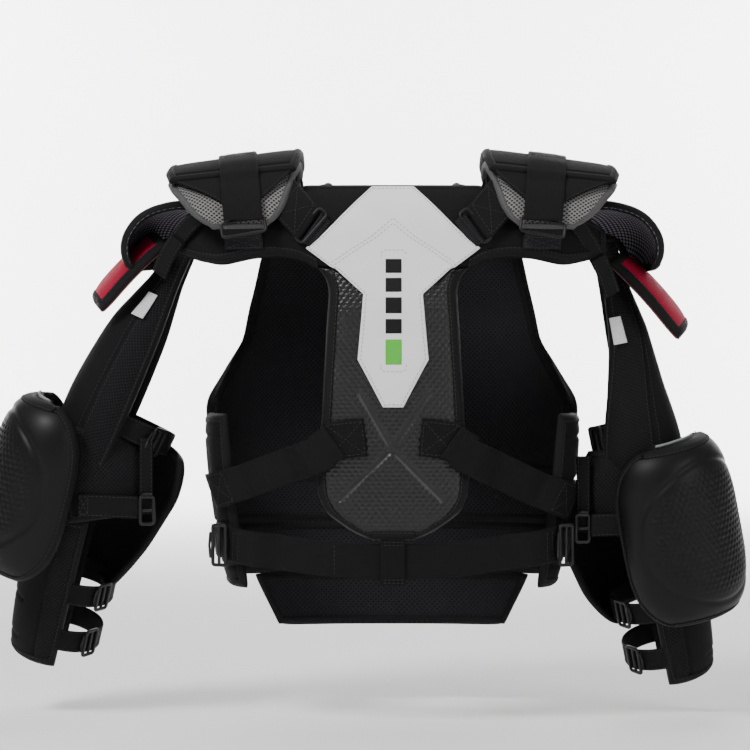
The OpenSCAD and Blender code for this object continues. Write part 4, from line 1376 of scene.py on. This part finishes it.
def make_forearm(arm):
    def sleeve(u, v, off):
        z = mix(*FORE_Z, v)
        return polar(fore_radius(z) - 11 + off, mix(-112, 112, u), z)

    def channels(u, v, p, su, sv):
        rings = pressed(2.0, (v * 3.999 % 1 - 0.5) * sv[:, -1:] / 4, 2.2) * (u > 0.3) * (u < 0.97)
        return rings + pressed(1.8, (u - FORE_SEAM) * su[-1:], 1.8)
    pad = arm.pad("forearm_pad", "forearm", "lower", sleeve, crowned(11, 0.5, 8), "cover", res=1.5, swell=4,
                  nodes=("forearm_pad", "forearm_liner"), slot="black_cover", fill=0.65, inner_look="lining",
                  zone=("black_mesh", lambda u, v: u < FORE_SEAM), relief=channels)
    pad.binding(8.5)

    def wing(u, v, off):
        z = mix(*WING_Z[arm.side], v)
        far = lookup(z, WING_R[arm.side], 8) - 9 * (1 - crown(0.5, v, 5)) * u
        a = mix(mix(134, 98, np.clip(v * 2.2, 0, 1)), 186, u)
        return polar(mix(55 - 4 * v, far, u**0.9) + off, a, z)
    w = arm.pad("forearm_wing", "forearm", "lower", wing, crowned(9, 0.6), "cover", res=1.6, swell=3,
                nodes=("forearm_wing",), slot="black_cover", fill=0.6, inner_look="black_mesh")
    w.binding(8)

    body = f"forearm_{arm.side}"
    for k, zs in enumerate(FORE_STRAPS):
        r1 = float(fore_radius(zs)) - 6

        def strap_at(u, q, off, zs=zs, r1=r1):
            r = mix(r1, r1 + 12, np.sin(math.pi * u)) + off
            return arm.to("lower", polar(r, mix(OPEN_FROM, OPEN_TO, u), zs + q))
        strap_pad(f"forearm_strap{k}_{arm.side}", body, strap_at, 24,
                  nodes=(f"forearm_straps_{arm.side}",) if k == 0 else ())
        a = math.radians(FORE_BUCKLE)
        u = (FORE_BUCKLE - OPEN_FROM) / (OPEN_TO - OPEN_FROM)
        rb = r1 + 12 * math.sin(math.pi * u) + 3.5
        o = arm.to("lower", (rb * math.cos(a), rb * math.sin(a), zs))
        buckle(f"forearm_buckle{k}_{arm.side}", o, arm.aim("lower", (0, 0, 1)) * arm.s,
               arm.aim("lower", (-math.sin(a), math.cos(a), 0)), body, 31, 21, 3.4,
               nodes=(f"forearm_buckles_{arm.side}",) if k == 0 else ())


# ---- chest ---------------------------------------------------------------------------

CHEST_ANGLE = ((-292, 13), (-215, 13), (-190, 26), (-150, 40), (-90, 46), (-40, 50))
PEC_SEAM = 0.6
# quilting lines of the chest pad in the X, Z plane, for one side
QUILT = (((30, -40), (44, -205)), ((44, -205), (70, -292)), ((44, -205), (200, -222)),
         ((57, -248), (210, -262)))
# name, body, top, foot, where it starts round the form, thickness, look and slot of each belly pad
BELLY = (("belly_upper", "torso", -294, -343, lambda z: 18 + 0 * z, BELLY_THICK, "cover", "black_cover"),
         ("belly_middle", "torso", -345, -395, lambda z: 20 + 0 * z, BELLY_THICK - 1, "white",
          "white_leather"),
         ("belly_lower", "belly_flap", -399, -452, lambda z: 34 + (-398 - z) / 4, BELLY_THICK - 2, "cover",
          "black_cover"))


def chest_edge(z):
    return lookup(z, CHEST_ANGLE, 8)


def make_chest():
    def quilt(u, v, p, su, sv):
        lines = [((s * xa, za), (s * xb, zb)) for s in (-1, 1) for (xa, za), (xb, zb) in QUILT]
        return np.maximum(sum(groove(p, a, b, 3.4) for a, b in lines), -3)
    faces = round_pad(-40, -292, chest_edge, lambda z: 180 - chest_edge(z), 0, CHEST_THICK, 0.5, 8)
    chest = Pad("chest_pad", "torso", *faces, "cover", 1.7, swell=4, relief=quilt,
                nodes=("chest_cover", "chest_foam", "chest_liner"), slot="black_cover", fill=0.7, round_r=9,
                inner_look="lining")
    chest.binding(10)


def make_pec_block(side, s):
    faces = round_pad(-70, -198, lambda z: chest_edge(z) + 8, lambda z: 83 + 0 * z,
                      CHEST_THICK + 1.6, 9, 0.35, 4)

    def seams(u, v, p, su, sv):
        upright = pressed(1.6, (u - 0.5) * su[-1:], 2.4) * (v < PEC_SEAM)
        return pressed(2.2, (v - PEC_SEAM) * sv[:, -1:], 2.2) + upright
    p = Pad(f"pec_block_{side}", "torso", *mirrored(faces, s), "white", 1.6, swell=2.5, fill=0.7, round_r=5,
            nodes=("pec_blocks",) if s < 0 else (), slot="white_leather", inner_look="lining",
            zone=("black_mesh", lambda u, v: v > PEC_SEAM), relief=seams)
    p.binding(7)
    for k, v in enumerate((PEC_SEAM - 0.035, PEC_SEAM + 0.035)):
        p.row(v, tag=f"_seam{k}")


def make_belly():
    def channels(u, v, p, su, sv):
        return pressed(2.6, (u * 6 % 1 - 0.5) * su[-1:] / 6, 2.0) * (v > 0.04) * (v < 0.96)
    ends = ("cover", lambda u, v: np.abs(u - 0.5) > 1 / 3)
    for name, body, z0, z1, start, thick, look, slot in BELLY:
        faces = round_pad(z0, z1, start, lambda z, f=start: 180 - f(z), 0, thick, 0.5, 6)
        p = Pad(name + "_pad", body, *faces, look, 1.6, swell=3, fill=0.7, round_r=6, nodes=(name,),
                slot=slot, inner_look="lining", zone=ends if look == "white" else None, relief=channels)
        p.binding(8)


def make_rib_guard(side, s):
    faces = round_pad(-226, -402, lambda z: 7 + 0 * z, lambda z: -30 + 0 * z, 0, RIB_THICK, 0.5, 6)

    def channels(u, v, p, su, sv):
        return pressed(1.8, (v * 4 % 1 - 0.5) * sv[:, -1:] / 4, 2.0) * (u > 0.08) * (u < 0.92)
    p = Pad(f"rib_guard_{side}", "torso", *mirrored(faces, s), "cover", 1.6, swell=3, fill=0.6, round_r=5,
            nodes=(f"rib_pad_{side}",), slot="black_mesh", inner_look="lining", relief=channels)
    p.binding(8)


def dress_plate():
    """The stiff plate inside the chest pad stays as built and only gets its look."""
    slots = bpy.data.objects["sternum_plate"].data.materials
    for i in range(len(slots)):
        slots[i] = LOOKS["plate"]


make_spine()
make_yoke()
make_overlay()
make_badge()
for side_name, side_sign in SIDES.items():
    make_diagonal(side_name, side_sign)
make_waist()
dress_plate()
make_chest()
for side_name, side_sign in SIDES.items():
    make_pec_block(side_name, side_sign)
make_belly()
for side_name, side_sign in SIDES.items():
    make_rib_guard(side_name, side_sign)
for side_arm in ARMS.values():
    make_floater(side_arm)
    make_anchor(side_arm)
    make_neck_strap(side_arm)
    make_shoulder_strap(side_arm)
    make_cap(side_arm)
    make_flap(side_arm)
    make_hangers(side_arm)
    make_upper_arm(side_arm)
    make_elbow(side_arm)
    make_sling(side_arm)
    make_forearm(side_arm)
SIZE = {"cad": CAD_BOX, "visual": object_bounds()}
SIZE = {k: [list(map(float, p)) for p in v] for k, v in SIZE.items()}
